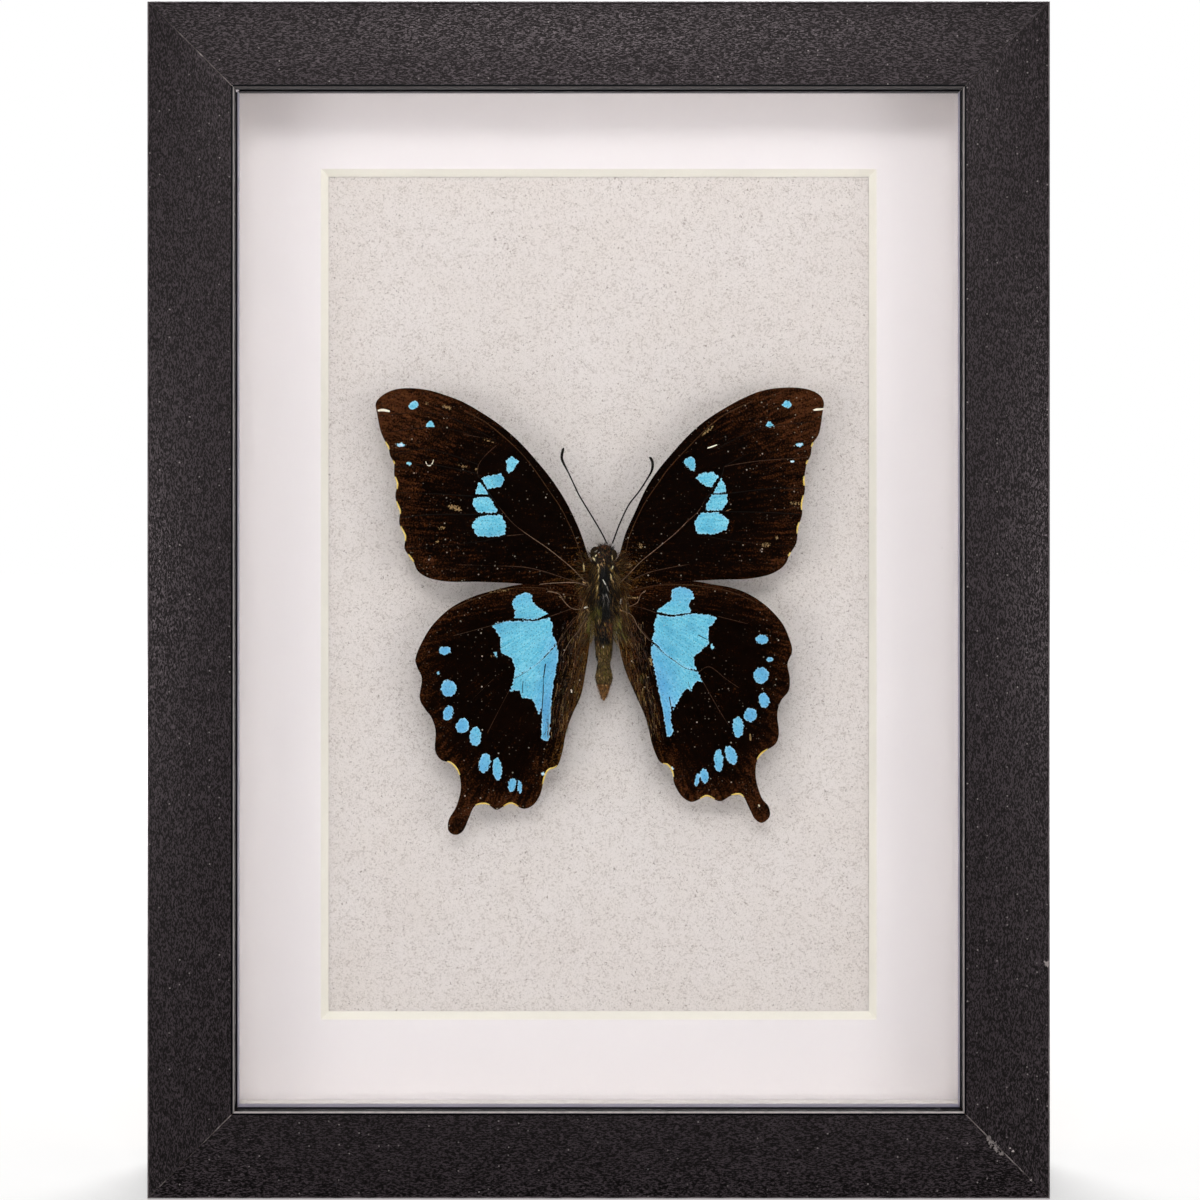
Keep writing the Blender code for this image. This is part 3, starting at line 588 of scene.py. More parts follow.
def makeHanger():
    # a stamped plate whose toothed middle stands off the board, so that a nail fits under it
    plate = cutPlate("sawtoothHanger", "hanger", hanger["corner"], 5)
    half = hanger["toothBand"] / 2 + 1.0
    for side in (-1, 1):
        for stop in (half, half + hanger["ramp"]):
            bpy.ops.mesh.select_all(action="SELECT")
            bpy.ops.mesh.bisect(plane_co=(side * stop * mm, 0, 0), plane_no=(1, 0, 0))
    leave()
    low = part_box("hanger")[0]
    bpy.ops.mesh.primitive_cylinder_add(
        vertices=3, radius=hanger["toothDepth"] * mm, depth=8 * mm, rotation=(math.radians(90), 0,
                                                                              0),
        location=(-hanger["toothBand"] / 2 * mm, low.y, low.z))
    notch = bpy.context.object
    applyPlace(notch)
    row = notch.modifiers.new("row", "ARRAY")
    row.count = hanger["teeth"] + 1
    row.use_relative_offset = False
    row.use_constant_offset = True
    row.constant_offset_displace = (hanger["toothBand"] / hanger["teeth"] * mm, 0, 0)
    applyModifiers(notch)
    teeth = plate.modifiers.new("teeth", "BOOLEAN")
    teeth.object = notch
    teeth.operation = "DIFFERENCE"
    applyModifiers(plate)
    bpy.data.objects.remove(notch)
    enter(plate, "VERT")
    pickVerts(plate, lambda p: abs(p.x) < half + 0.05)
    push(back=hanger["raise"])
    leave()
    plate.data.materials.append(brass)
    smooth(plate, 30)
    settle(plate, "brassed_hanger", "hanger")


def makeBrad(node):
    # a small nail with a low domed head
    low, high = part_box(node)
    middle = (low + high) / 2
    radius = brad["shank"]
    bpy.ops.mesh.primitive_cylinder_add(vertices=20, radius=radius * mm, depth=high.y - low.y,
                                        rotation=(math.radians(90), 0, 0), location=middle)
    nail = bpy.context.object
    nail.name = node.replace("brad_", "bradNail_")
    applyPlace(nail)
    enter(nail)
    pickFaces(nail, lambda c, n: n.y > 0.9)
    for out, rim in brad["head"]:
        bpy.ops.mesh.extrude_region_move(TRANSFORM_OT_translate={"value": (0, out * mm, 0)})
        bpy.ops.transform.resize(value=(rim / radius, 1, rim / radius),
                                 center_override=(middle.x, high.y, middle.z))
        radius = rim
    leave()
    nail.data.materials.append(brass)
    smooth(nail, 40)
    settle(nail, "brassed_hanger", node)


makeHanger()
makeBrad("brad_left")
makeBrad("brad_right")
print("tabs and hanger on the back")

insect = {
    "thorax": (0.9, 104.1, 13.2), "foreDepth": 12.6, "hindDepth": 13.3,
    "membrane": 0.14, "pitch": 0.25, "ripple": 0.035,
}
photoScale = {"thoraxPixel": (603.2, 585.0), "mmPerPixel": 0.17485}


def onInsect(right, up, back):
    return at(insect["thorax"][0] + right, insect["thorax"][1] + up, back)


def toWorld(right, up, back):
    # the same for many spots at once, in rows of world millimetres
    middle = insect["thorax"]
    return np.column_stack([middle[0] + right, frontY / mm + back, middle[1] + up])


def fromPhoto(points):
    # pixels of the photograph to millimetres from the thorax, in the plane of the wings
    middle, size = photoScale["thoraxPixel"], photoScale["mmPerPixel"]
    return [((x - middle[0]) * size, (middle[1] - y) * size) for x, y in points]


def wingDepth(right, up, hind):
    # a set wing arches a little from root to tip, and its hind margin hangs back
    out = np.abs(right)
    if hind:
        arch = 0.5 * np.sin(np.pi * np.minimum(out / 34.0, 1.0))
        return insect["hindDepth"] - arch + 0.6 * (up / 40.0) ** 2
    arch = 0.6 * np.sin(np.pi * np.minimum(out / 40.0, 1.0))
    return insect["foreDepth"] - arch + 0.5 * (out / 40.0) ** 2 - 0.25 * (up - 2.0) / 30.0


# Each wing: its outline in millimetres from the front of the root round to its back, the blue
# patches, round spots (x, y, width, height, tilt), stripes (kind, width, route) and pale rims
# (start, end), all in pixels of the photograph.
wings = {
    "forewing_left": {
        "hind": False,
        "outline": [
            (-2.8, 5.4), (-3.6, 8.0), (-4.6, 10.6), (-6.6, 14.7), (-9.2, 18.7), (-11.8, 21.9),
            (-14.7, 25.1), (-17.9, 27.9), (-21.1, 30.1), (-24.6, 32.1), (-28.0, 33.4),
            (-30.9, 34.2), (-34.1, 34.5), (-36.7, 34.2), (-38.7, 33.2), (-39.8, 31.9),
            (-39.6, 30.1), (-39.0, 27.1), (-38.2, 25.2), (-37.6, 24.1), (-37.3, 22.7),
            (-36.6, 21.3), (-36.6, 19.4), (-36.1, 17.7), (-36.4, 15.7), (-36.1, 14.2),
            (-35.6, 12.9), (-35.7, 10.8), (-34.7, 8.6), (-34.8, 6.6), (-34.0, 5.2), (-33.2, 4.1),
            (-32.4, 2.5), (-30.4, 1.3), (-26.9, 0.7), (-22.2, 0.7), (-16.4, 0.5), (-12.8, 0.2),
            (-9.3, 0.2), (-5.8, 0.3), (-2.9, -0.2), (-1.4, 2.6),
        ],
        "blue": [
            [(506, 459.5), (511.5, 455.5), (518.5, 460.5), (514, 469.5), (509, 472.5),
             (506, 469.5)],
            [(481, 477), (491, 474.5), (501, 473), (504.5, 478.5), (501, 486), (491, 488),
             (487.5, 489.5)],
            [(478.5, 480.5), (474.5, 493.5), (488.5, 494.5), (483.5, 486)],
            [(473.5, 497), (472, 503.5), (477.5, 512), (498.5, 512), (492.5, 501), (489.5, 496)],
            [(471, 525), (476, 517.5), (486, 514.5), (501, 514), (506.5, 524), (504.5, 534),
             (491, 536.5), (477.5, 535.5), (473, 529)],
            [(408, 407), (410, 403), (414, 400), (418, 402), (419, 405), (415, 409),
             (410.5, 408.5)],
            [(425, 425.5), (428, 421), (431, 420), (434.5, 424), (434, 427), (428, 427.5)],
        ],
        "spots": [(400.5, 444.5, 8, 4.5, 0), (408.5, 463, 6, 3.5, 0)],
        "stripes": [
            ("pale", 0.85, [(592, 584), (584, 580), (570, 566), (548.5, 548.5), (534, 538.5),
                            (523, 531)]),
            ("faint", 1.1, [(523, 531), (513, 523), (504, 513), (494, 500)]),
            ("dark", 1.9, [(494, 500), (489, 493), (480, 479), (477, 473)]),
            ("faint", 0.9, [(477, 473), (478.5, 464), (486, 454), (496, 445)]),
            ("faint", 0.9, [(464, 434), (480, 437), (496, 440)]),
            ("dark", 1.5, [(489, 495.3), (474, 495.5), (430, 493), (398, 492)]),
            ("dark", 1.5, [(500, 513), (474, 513.8), (430, 514), (401, 517)]),
            ("dark", 1.1, [(507, 535), (478, 541), (430, 546), (404, 548)]),
            ("dark", 1.1, [(477, 473), (430, 464), (394, 467)]),
            ("dark", 1.1, [(478, 464), (430, 449), (391, 453)]),
            ("dark", 1.1, [(496, 442), (440, 427), (387, 432)]),
            ("dark", 1.1, [(496, 440), (440, 414), (379, 415)]),
            ("brown", 1.3, [(464, 411), (484, 421), (503, 436), (521, 453), (534, 469),
                            (548.5, 490), (561, 508.5), (573, 534), (583, 560), (590, 577)]),
            ("faint", 1.3, [(582, 583), (560, 576), (541, 570), (521, 566), (496, 565),
                            (461, 564)]),
            ("pale", 1.2, [(590, 586), (576, 582), (556, 582), (539, 583.5)]),
            ("faint", 1.0, [(507, 535), (523, 533.5)]),
            ("frost", 3.4, [(398.3, 444.2), (403, 444.8)]),
            ("frost", 2.6, [(406.8, 463), (410.2, 463)]),
            ("bare", 2.9, [(377.5, 410.2), (383, 409.6), (389.5, 411)]),
            ("bare", 1.1, [(425.5, 461), (427, 464.3), (429.3, 465.3), (432, 463), (433.3, 459)]),
            ("bare", 1.3, [(443, 417.6), (444.3, 418.4)]),
        ],
        "rubbed": [(454, 507, 17, 6, -14), (442, 527, 8, 4, 0), (437, 541, 6, 4, 0),
                   (447, 407, 12, 5, -20), (427, 403, 4, 4, 0), (428, 417, 3, 3, 0),
                   (476, 469, 4, 4, 0), (463, 466, 12, 3, -12), (488, 440, 14, 3, -20),
                   (585, 520, 10, 5, 60)],
        "rims": [((385.5, 440.5), (388.5, 449)), ((392, 459), (394, 465)),
                 ((394.5, 475), (396.5, 490)),
                 ((396.5, 501), (399.5, 514)), ((402.5, 525), (405, 541)),
                 ((409, 554), (413.5, 562.5))],
        "darkHeart": (515, 505), "heartSize": 150.0,
    },
    "forewing_right": {
        "hind": False,
        "outline": [
            (2.8, 5.7), (3.8, 9.2), (5.5, 13.0), (7.2, 16.7), (9.0, 19.6), (11.6, 22.8),
            (14.5, 26.0), (17.4, 28.6), (20.9, 30.9), (24.4, 32.8), (27.8, 34.1), (31.6, 34.6),
            (35.1, 34.4), (37.4, 33.5), (38.4, 32.1), (38.2, 30.4), (37.6, 26.7), (36.4, 24.7),
            (36.1, 22.8), (35.4, 21.3), (35.0, 18.7), (35.1, 16.7), (34.6, 14.4), (34.6, 12.4),
            (33.9, 10.1), (33.6, 7.5), (32.4, 5.4), (31.8, 4.0), (30.6, 2.8), (28.4, 1.8),
            (24.9, 1.2), (20.6, 1.1), (16.2, 0.9), (12.0, 0.6), (8.2, 0.1), (5.6, -0.3),
            (2.9, -0.7), (1.4, 2.6),
        ],
        "blue": [
            [(681, 461), (688, 456), (694.5, 458), (694.5, 470.5), (689.5, 469.5)],
            [(695, 478), (699.5, 472), (712.5, 471.5), (717.5, 476), (711, 487), (703.5, 485)],
            [(720, 477.5), (725, 486), (725, 492), (712, 492.5)],
            [(711, 493.5), (726, 493), (726.5, 502.5), (721, 509.5), (703.5, 510), (706, 502.5)],
            [(693, 521.5), (699.5, 512), (717.5, 511.5), (728.5, 520), (726, 529), (712.5, 534),
             (696, 532.5)],
            [(781, 404), (784.5, 399.5), (788, 399.5), (791.5, 406.5), (787, 408), (782, 406)],
            [(763.5, 425), (767, 421), (770, 420.5), (773, 426), (768, 427.5)],
        ],
        "spots": [(798.5, 444.1, 8, 4, 0), (791.1, 460.9, 4.5, 2.5, 0)],
        "stripes": [
            ("pale", 0.85, [(617, 584), (625.5, 576), (640, 561), (657, 547), (674, 533),
                            (686, 521)]),
            ("faint", 1.1, [(686, 521), (697, 511), (703, 501)]),
            ("dark", 2.0, [(703, 501), (711, 489), (720, 476), (723, 466)]),
            ("faint", 1.0, [(723, 466), (740, 463), (762, 460), (805, 457)]),
            ("dark", 1.5, [(710, 493), (726, 493), (770, 488), (803, 488)]),
            ("dark", 1.6, [(702, 510.6), (720, 510.8), (727, 511), (770, 512), (800, 514)]),
            ("dark", 1.1, [(694, 533), (730, 540), (770, 544), (795, 546)]),
            ("dark", 1.1, [(723, 466), (760, 448), (810, 441)]),
            ("dark", 1.1, [(716, 448), (760, 428), (814, 421)]),
            ("brown", 1.3, [(751, 401), (724, 414), (707, 427), (691, 443), (668.5, 467),
                            (657, 483), (643, 504), (628.5, 536), (624, 560), (619, 577)]),
            ("faint", 1.3, [(624, 583), (630, 580), (647, 572), (668.5, 567), (691, 563)]),
            ("frost", 3.2, [(796, 444.3), (801, 444)]),
            ("frost", 2.2, [(789.5, 461), (792.8, 461)]),
            ("bare", 2.6, [(811.5, 409.4), (817, 409), (822.5, 408.6)]),
            ("bare", 1.5, [(706.5, 447.7), (710.5, 446.4), (716, 444.3)]),
            ("tan", 1.1, [(724, 511), (730, 508.5)]),
        ],
        "rubbed": [(794, 502.5, 12, 4, -8), (764.5, 544, 12, 5, 0), (776, 537, 6, 4, 0),
                   (707, 430, 16, 4, 40), (640, 545, 8, 5, -50)],
        "rims": [((810, 441.5), (813.8, 449)), ((804.8, 457), (808, 465)),
                 ((803, 474), (805, 484.5)),
                 ((800.8, 495), (803.5, 511.5)), ((796, 522), (800, 537)),
                 ((785.5, 550.5), (792, 558))],
        "darkHeart": (690, 505), "heartSize": 150.0,
    },
    "hindwing_left": {
        "hind": True,
        "outline": [
            (-2.9, -0.2), (-7.2, 0.6), (-11.3, 0.4), (-14.8, 0.2), (-18.1, -0.5), (-22.6, -1.8),
            (-26.5, -3.7), (-29.7, -6.6), (-31.6, -9.5), (-32.9, -12.6), (-32.6, -14.3),
            (-31.8, -16.3), (-32.2, -19.6), (-31.3, -21.5), (-30.1, -23.1), (-29.4, -25.5),
            (-29.5, -28.8), (-28.4, -30.5), (-26.8, -31.0), (-25.4, -32.7), (-25.0, -35.5),
            (-25.8, -38.6), (-27.1, -40.9), (-27.2, -42.8), (-26.0, -43.6), (-24.6, -42.9),
            (-23.6, -40.7), (-22.7, -38.7), (-21.5, -38.2), (-20.2, -38.3), (-18.8, -39.2),
            (-17.5, -38.6), (-16.1, -38.1), (-14.1, -39.0), (-12.4, -38.4), (-11.1, -36.5),
            (-10.4, -33.7), (-9.6, -32.2), (-8.1, -31.5), (-7.2, -28.9), (-6.6, -25.7),
            (-5.5, -22.5), (-4.0, -19.2), (-3.2, -15.2), (-2.6, -11.1), (-2.4, -7.0), (-2.7, -3.3),
            (-1.4, -1.7),
        ],
        "blue": [
            [(511, 602.5), (515.5, 595), (525.5, 591.5), (531.5, 594), (532, 600.5), (537, 606),
             (549, 613.5), (533, 619), (513.5, 618), (514.5, 610)],
            [(490.5, 624), (503.5, 620.5), (533, 620), (549, 616.5), (552.5, 624.5), (551.5, 631),
             (556, 642.5), (537, 663.5), (513, 677.5), (514.5, 667), (511, 657), (500, 652.5),
             (500, 637.5), (496, 630.5)],
            [(513.5, 677), (537, 663), (556, 643.5), (558, 652.5), (557, 663.5), (553.5, 680),
             (550.5, 704), (549, 737.5), (545, 741), (540.5, 737.5), (541.5, 721), (540.5, 706),
             (538.5, 715.5), (533, 700.5), (525.5, 696.5), (521.8, 699.5), (518.5, 689.5),
             (509, 691)],
            [(492.5, 652), (496, 651), (497.5, 659), (495.5, 657)],
        ],
        "spots": [(444.4, 650, 13, 9, 12), (437.5, 672.2, 3, 4, 0), (448.1, 687.6, 16, 17, 0),
                  (447.7, 712.2, 10, 16.5, -14), (461.9, 725.1, 13, 16, -20),
                  (474.9, 735.6, 12, 20, -4), (484.1, 762.4, 11.5, 20.5, -14),
                  (496.7, 768, 9.6, 23.5, 4), (511.5, 784.1, 8.6, 14.5, -10),
                  (519.2, 785.9, 5, 13, 4), (542.4, 773.2, 3.5, 4.5, 0)],
        "stripes": [
            ("dark", 1.6, [(513, 618), (523, 618.3), (533, 619.8), (541, 618), (550, 615.5)]),
            ("faint", 1.0, [(550, 615.5), (568, 609), (590, 600)]),
            ("faint", 0.9, [(513, 618), (490, 625), (453, 635)]),
            ("dark", 1.2, [(497, 648.5), (504, 645), (512, 640.5)]),
            ("dark", 0.7, [(508.5, 678.5), (514, 677.5), (525, 671.5), (533, 665.8), (543, 657.5),
                           (557, 642.5)]),
            ("faint", 1.1, [(557, 642.5), (572, 622), (592, 602)]),
            ("dark", 1.3, [(545, 663), (543, 678), (542.5, 693), (541, 715)]),
            ("dark", 0.9, [(522.5, 680), (521.7, 692)]),
            ("faint", 0.9, [(508.5, 690), (497, 712), (487, 732)]),
            ("faint", 0.8, [(493, 678), (470, 700)]),
            ("pale", 1.0, [(547, 590.5), (558, 593), (563, 600), (570, 607), (578, 608.7),
                           (588, 607)]),
            ("brown", 1.2, [(450, 609), (467, 601), (492, 592), (513, 587.5), (537, 587),
                            (557, 591.5), (580, 596)]),
            ("faint", 1.0, [(592, 606), (580, 640), (570, 680), (560, 720)]),
            ("faint", 0.8, [(590, 606), (574, 640), (562, 676)]),
            ("bare", 1.1, [(479.5, 787.8), (480.3, 785), (482, 784.6), (483.4, 787)]),
            ("bare", 1.6, [(570.5, 688.5), (571.2, 692)]),
            ("frost", 2.4, [(540.6, 772.6), (544.2, 773.8)]),
            ("pale", 0.8, [(588, 612), (578, 630), (569, 641), (562, 655)]),
            ("faint", 0.8, [(586, 617), (576, 634), (570, 650), (566, 668)]),
            ("faint", 0.9, [(586, 611), (573, 618), (560, 636), (556, 650)]),
        ],
        "rubbed": [(492, 655, 5, 3, 0), (565, 597, 20, 3, -6), (500, 590, 26, 3, 10)],
        "rims": [((446, 761.5), (459, 774)), ((473.5, 805), (490, 804.5)),
                 ((503, 806.5), (520, 806)),
                 ((541.5, 783), (557, 765.5))],
        "darkHeart": (500, 690), "heartSize": 90.0,
    },
    "hindwing_right": {
        "hind": True,
        "outline": [
            (2.9, -0.4), (7.3, 0.5), (11.3, 0.9), (15.8, 0.8), (18.7, 0.3), (22.2, -0.3),
            (25.4, -1.5), (28.6, -3.7), (31.2, -6.6), (32.5, -9.5), (32.9, -11.5), (32.1, -13.7),
            (32.5, -16.1), (32.3, -18.4), (30.9, -20.2), (30.3, -22.6), (30.6, -25.7),
            (30.0, -27.7), (27.8, -29.2), (26.7, -30.9), (26.6, -33.8), (27.6, -37.1),
            (28.8, -38.6), (29.0, -40.4), (27.7, -41.5), (26.4, -40.8), (25.4, -38.9),
            (24.2, -36.7), (22.3, -36.7), (20.3, -37.7), (18.1, -36.8), (16.8, -37.3),
            (15.2, -37.8), (13.5, -36.7), (12.3, -34.6), (12.0, -32.8), (11.2, -31.4), (9.7, -30.7),
            (8.4, -27.6), (7.4, -23.4), (5.2, -18.3), (3.6, -14.4), (2.6, -10.2), (2.3, -6.5),
            (2.8, -3.3), (1.4, -1.8),
        ],
        "blue": [
            [(671.5, 587.5), (682.5, 586), (691, 589.5), (694, 596), (688, 603.5), (691, 612),
             (671.5, 614.5), (654.5, 611), (664, 603.5), (670.5, 599.5)],
            [(656.5, 614), (671.5, 616), (693.5, 612.5), (710, 614), (717, 617.5), (708.5, 626.5),
             (707.5, 634), (708.5, 643), (693.5, 656), (693.5, 663.5), (696.5, 669), (682.5, 666.5),
             (664, 652.5), (651, 639.5), (654, 630.5), (653, 623)],
            [(651, 641.5), (664, 652.5), (682.5, 666.5), (696.5, 670), (703, 682), (696.5, 680),
             (692.3, 684.5), (690.7, 692.5), (687.8, 687), (682.5, 692), (675, 704), (673, 711.5),
             (670.5, 699), (670.5, 721), (672.5, 730), (670.5, 735.5), (666, 735), (663, 715.5),
             (658.5, 693), (654, 671), (650, 652.5)],
            [(709.5, 643.5), (711.5, 642.5), (713.5, 647), (711, 650)],
        ],
        "spots": [(761, 638.6, 14, 10, 0), (768.8, 658.9, 7.5, 5, -8), (760.1, 674.6, 16, 17, 0),
                  (763.2, 699.6, 11, 16, 14), (749.6, 714.2, 14, 14, 0),
                  (737.3, 726.3, 11.5, 22, 3), (730.4, 754.3, 11, 20, 22),
                  (717.9, 759.7, 9.4, 23.5, 0), (703.7, 775.2, 8.6, 15, 12),
                  (696.4, 779.1, 4.8, 13.5, -8), (671.7, 767.5, 3, 4, 0)],
        "stripes": [
            ("dark", 1.6, [(655, 611.8), (664, 613.2), (671.7, 614.9), (681, 613.5), (691, 612.3)]),
            ("faint", 0.9, [(717, 615.5), (747, 623)]),
            ("faint", 1.0, [(655, 611.8), (640, 607), (618, 603)]),
            ("dark", 0.8, [(652, 642), (663, 652.5), (674, 660.3), (685, 667.5), (698, 671.3)]),
            ("faint", 1.2, [(652, 642), (640, 628), (618, 606)]),
            ("dark", 1.0, [(697, 634), (707, 639)]),
            ("faint", 0.9, [(698, 671), (709, 666), (725, 678), (738, 687)]),
            ("faint", 0.9, [(700, 677), (717, 707), (730, 728)]),
            ("dark", 0.9, [(687.5, 681), (691, 693)]),
            ("dark", 1.2, [(668.5, 696), (671.5, 712)]),
            ("pale", 1.0, [(645, 590), (640, 594), (636.5, 602), (628, 606)]),
            ("brown", 1.4, [(625, 592), (648, 586), (676, 583.5), (717, 588), (740, 595),
                            (757, 603)]),
            ("faint", 1.0, [(616, 608), (632, 640), (647, 690), (654, 730)]),
            ("faint", 0.8, [(618, 608), (640, 640), (652, 676)]),
            ("tan", 1.8, [(749.3, 733), (749.8, 740)]),
            ("bare", 1.5, [(758, 804), (758.8, 806)]),
            ("frost", 1.7, [(671, 765.8), (672.4, 769)]),
            ("pale", 0.9, [(619, 609), (631, 614.5), (638, 627), (649, 640)]),
            ("faint", 0.9, [(618, 618), (629, 632), (638, 643), (644.5, 653), (650, 667)]),
            ("faint", 0.9, [(620, 612), (628, 625), (634, 640), (640, 662)]),
        ],
        "rubbed": [(632, 597, 14, 3, 0), (650, 660, 4, 12, 10)],
        "rims": [((661, 762), (673, 777)), ((699.5, 798.5), (713, 799)), ((730, 797.5), (742, 797)),
                 ((757.5, 758.5), (768.5, 750))],
        "darkHeart": (710, 680), "heartSize": 90.0,
    },
}


def toLoop(points, loop):
    # distance in millimetres to a closed loop, positive inside it, and the nearest point on it
    start = np.asarray(loop, float)
    end = np.roll(start, -1, axis=0)
    edge = end - start
    away = points[:, None, :] - start[None]
    share = np.clip((away * edge).sum(-1) / np.maximum((edge**2).sum(-1), 1e-12), 0, 1)
    foot = start[None] + share[..., None] * edge[None]
    gaps = np.linalg.norm(points[:, None, :] - foot, axis=-1)
    nearest = gaps.argmin(1)
    rows = np.arange(len(points))
    x, y = points[:, :1], points[:, 1:]
    above = (start[:, 1] > y) != (end[:, 1] > y)
    rise = np.where(edge[:, 1] == 0, 1e-12, edge[:, 1])
    crossing = above & (x < start[:, 0] + (y - start[:, 1]) * edge[:, 0] / rise)
    inside = crossing.sum(1) % 2 == 1
    gap = gaps[rows, nearest]
    return np.where(inside, gap, -gap), foot[rows, nearest]


def ellipse(x, y, wide, high, tilt):
    turn = math.radians(tilt)
    ring = []
    for i in range(16):
        a, b = wide / 2 * math.cos(i * math.pi / 8), high / 2 * math.sin(i * math.pi / 8)
        ring.append((x + a * math.cos(turn) + b * math.sin(turn),
                     y - a * math.sin(turn) + b * math.cos(turn)))
    return ring


def setFloat(mesh, name, values):
    layer = mesh.attributes.new(name, "FLOAT", "POINT")
    layer.data.foreach_set("value", np.asarray(values, np.float32))


# where the rows of scales fan out from, in mm towards the wing's own side, and mm to a radian
fanLook = {
    False: {"centre": (-30.0, 8.0), "spread": 55.0},
    True: {"centre": (1.0, -1.0), "spread": 24.0},
}
wingLook = {
    "black": "0a0402", "brown": "4d2b17", "russet": "5a3318", "olive": "4e3c1a", "tan": "9c8058",
    "blue": "56b0cf", "paleBlue": "86cde0", "rimBlue": "a9d6ee", "deepBlue": "4595bc",
    "violet": "5f98d2", "dust": "e2d8ca", "rimWide": 0.3, "scale": 0.3, "streak": 0.5,
    "roughness": 0.72,
    # dust, small and large, as for scatteredPoints
    "specks": [(0.6, 0.2, 0.88, 0.24), (2.9, 0.052, 0.5, 0.9)],
}


def wingScales():
    # wing membrane tiled with powdery scales: no gloss, near black with brown worn through it in
    # streaks of dots, and structural sky-blue patches whose edges are as ragged as the scales
    made, add, shader, inMm = newMaterial("powderyWingScales")
    inFace = add("Mapping", {"Vector": inMm, "Rotation": facePlane})
    fan = add("Mapping", {"Vector": add("UVMap", uv_map="fan"), "Scale": (1.0, 0.12, 1.0)})
    grain = add("TexNoise", {"Vector": inMm, "Scale": 1 / wingLook["scale"], "Detail": 2.0,
                             "Roughness": 0.75})
    streak = add("TexNoise", {"Vector": fan, "Scale": 1 / wingLook["streak"], "Detail": 3.0})
    cloud = add("TexNoise", {"Vector": inMm, "Scale": 1 / 3.5, "Detail": 3.0})
    kinds = {name: add("Attribute", attribute_name=name).outputs["Fac"]
             for name in ("blue", "outer", "rust", "violet", "rubbed")}
    speckle = add("Math", {0: streak, 1: 0.7, 2: grain}, operation="MULTIPLY_ADD")
    worn = add("Math", {0: kinds["outer"], 1: 0.45, 2: speckle}, operation="MULTIPLY_ADD")
    brownness = add("MapRange", {0: worn, 1: 0.95, 2: 1.4}, **soft)
    ground = add("Mix", {0: brownness, 6: wingLook["black"], 7: wingLook["brown"]}, **blend)
    lifted = add("Math", {0: kinds["rust"], 1: 0.42, 2: speckle}, operation="MULTIPLY_ADD")
    rustness = add("MapRange", {0: lifted, 1: 1.06, 2: 1.42}, **soft)
    rustTone = add("Mix", {0: cloud, 6: wingLook["russet"], 7: wingLook["olive"]}, **blend)
    ground = add("Mix", {0: rustness, 6: ground, 7: rustTone}, **blend)

    tone = add("MapRange", {0: speckle, 1: 0.65, 2: 1.08}, **soft)
    sky = add("Mix", {0: tone, 6: wingLook["blue"], 7: wingLook["paleBlue"]}, **blend)
    deep = add("MapRange", {0: cloud, 1: 0.45, 2: 0.7, 3: 0.0, 4: 0.55})
    sky = add("Mix", {0: deep, 6: sky, 7: wingLook["deepBlue"]}, **blend)
    sky = add("Mix", {0: kinds["violet"], 6: sky, 7: wingLook["violet"]}, **blend)
    rim = add("MapRange", {0: kinds["blue"], 1: 0.3, 2: 0.0, 3: 0.0, 4: 0.6})
    sky = add("Mix", {0: rim, 6: sky, 7: wingLook["rimBlue"]}, **blend)
    holes = add("TexVoronoi", {"Vector": inFace, "Scale": 1 / 0.7}, **inPlane)
    hole = add("MapRange", {0: holes, 1: 0.2, 2: 0.08, 3: 0.0, 4: 0.45}, **soft)
    sky = add("Mix", {0: hole, 6: sky, 7: wingLook["black"]}, **blend)
    ragged = add("TexNoise", {"Vector": inMm, "Scale": 1 / 0.42, "Detail": 1.0})
    shift = add("MapRange", {0: ragged, 1: 0.25, 2: 0.75, 3: -0.17, 4: 0.17})
    edge = add("Math", {0: kinds["blue"], 1: shift}, operation="ADD")
    isBlue = add("MapRange", {0: edge, 1: 0.01, 2: 0.08}, **soft)
    colour = add("Mix", {0: isBlue, 6: ground, 7: sky}, **blend)

    # rubbed places show tan membrane between the scales that are left
    bare = add("Math", {0: kinds["rubbed"], 1: grain}, operation="ADD")
    bareness = add("MapRange", {0: bare, 1: 0.98, 2: 1.14, 3: 0.0, 4: 0.9}, **soft)
    colour = add("Mix", {0: bareness, 6: colour, 7: wingLook["tan"]}, **blend)

    # dust and lifted scales: pale points, many small and faint, a few larger and bright
    drift = add("TexNoise", {"Vector": inMm, "Scale": 1 / 8.0, "Detail": 1.0})
    settled = add("MapRange", {0: drift, 1: 0.38, 2: 0.66, 3: 0.08, 4: 1.0})
    settled = add("Math", {0: kinds["rust"], 1: 0.7, 2: settled}, operation="MULTIPLY_ADD",
                  use_clamp=True)
    for specks in wingLook["specks"]:
        dust = scatteredPoints(add, inFace, *specks)
        dust = add("Math", {0: dust, 1: settled}, operation="MULTIPLY")
        colour = add("Mix", {0: dust, 6: colour, 7: wingLook["dust"]}, **blend)
    relief = add("Bump", {"Height": speckle, "Strength": 0.35, "Distance": 0.03 * mm})
    feed(shader, {"Roughness": wingLook["roughness"], "Specular IOR Level": 0.0,
                  "Base Color": colour, "Normal": relief})
    return made


def chitin(name, low, high, roughness):
    # bare cuticle or scale-free membrane in two close tones
    made, add, shader, inMm = newMaterial(name)
    mottle = add("TexNoise", {"Vector": inMm, "Scale": 1 / 0.35, "Detail": 3.0, "Roughness": 0.7})
    spread = add("MapRange", {0: mottle, 1: 0.3, 2: 0.7})
    colour = add("Mix", {0: spread, 6: low, 7: high}, **blend)
    bump = add("Bump", {"Height": mottle, "Strength": 0.3, "Distance": 0.03 * mm})
    feed(shader, {"Roughness": roughness, "Specular IOR Level": 0.06, "Base Color": colour,
                  "Normal": bump})
    return made


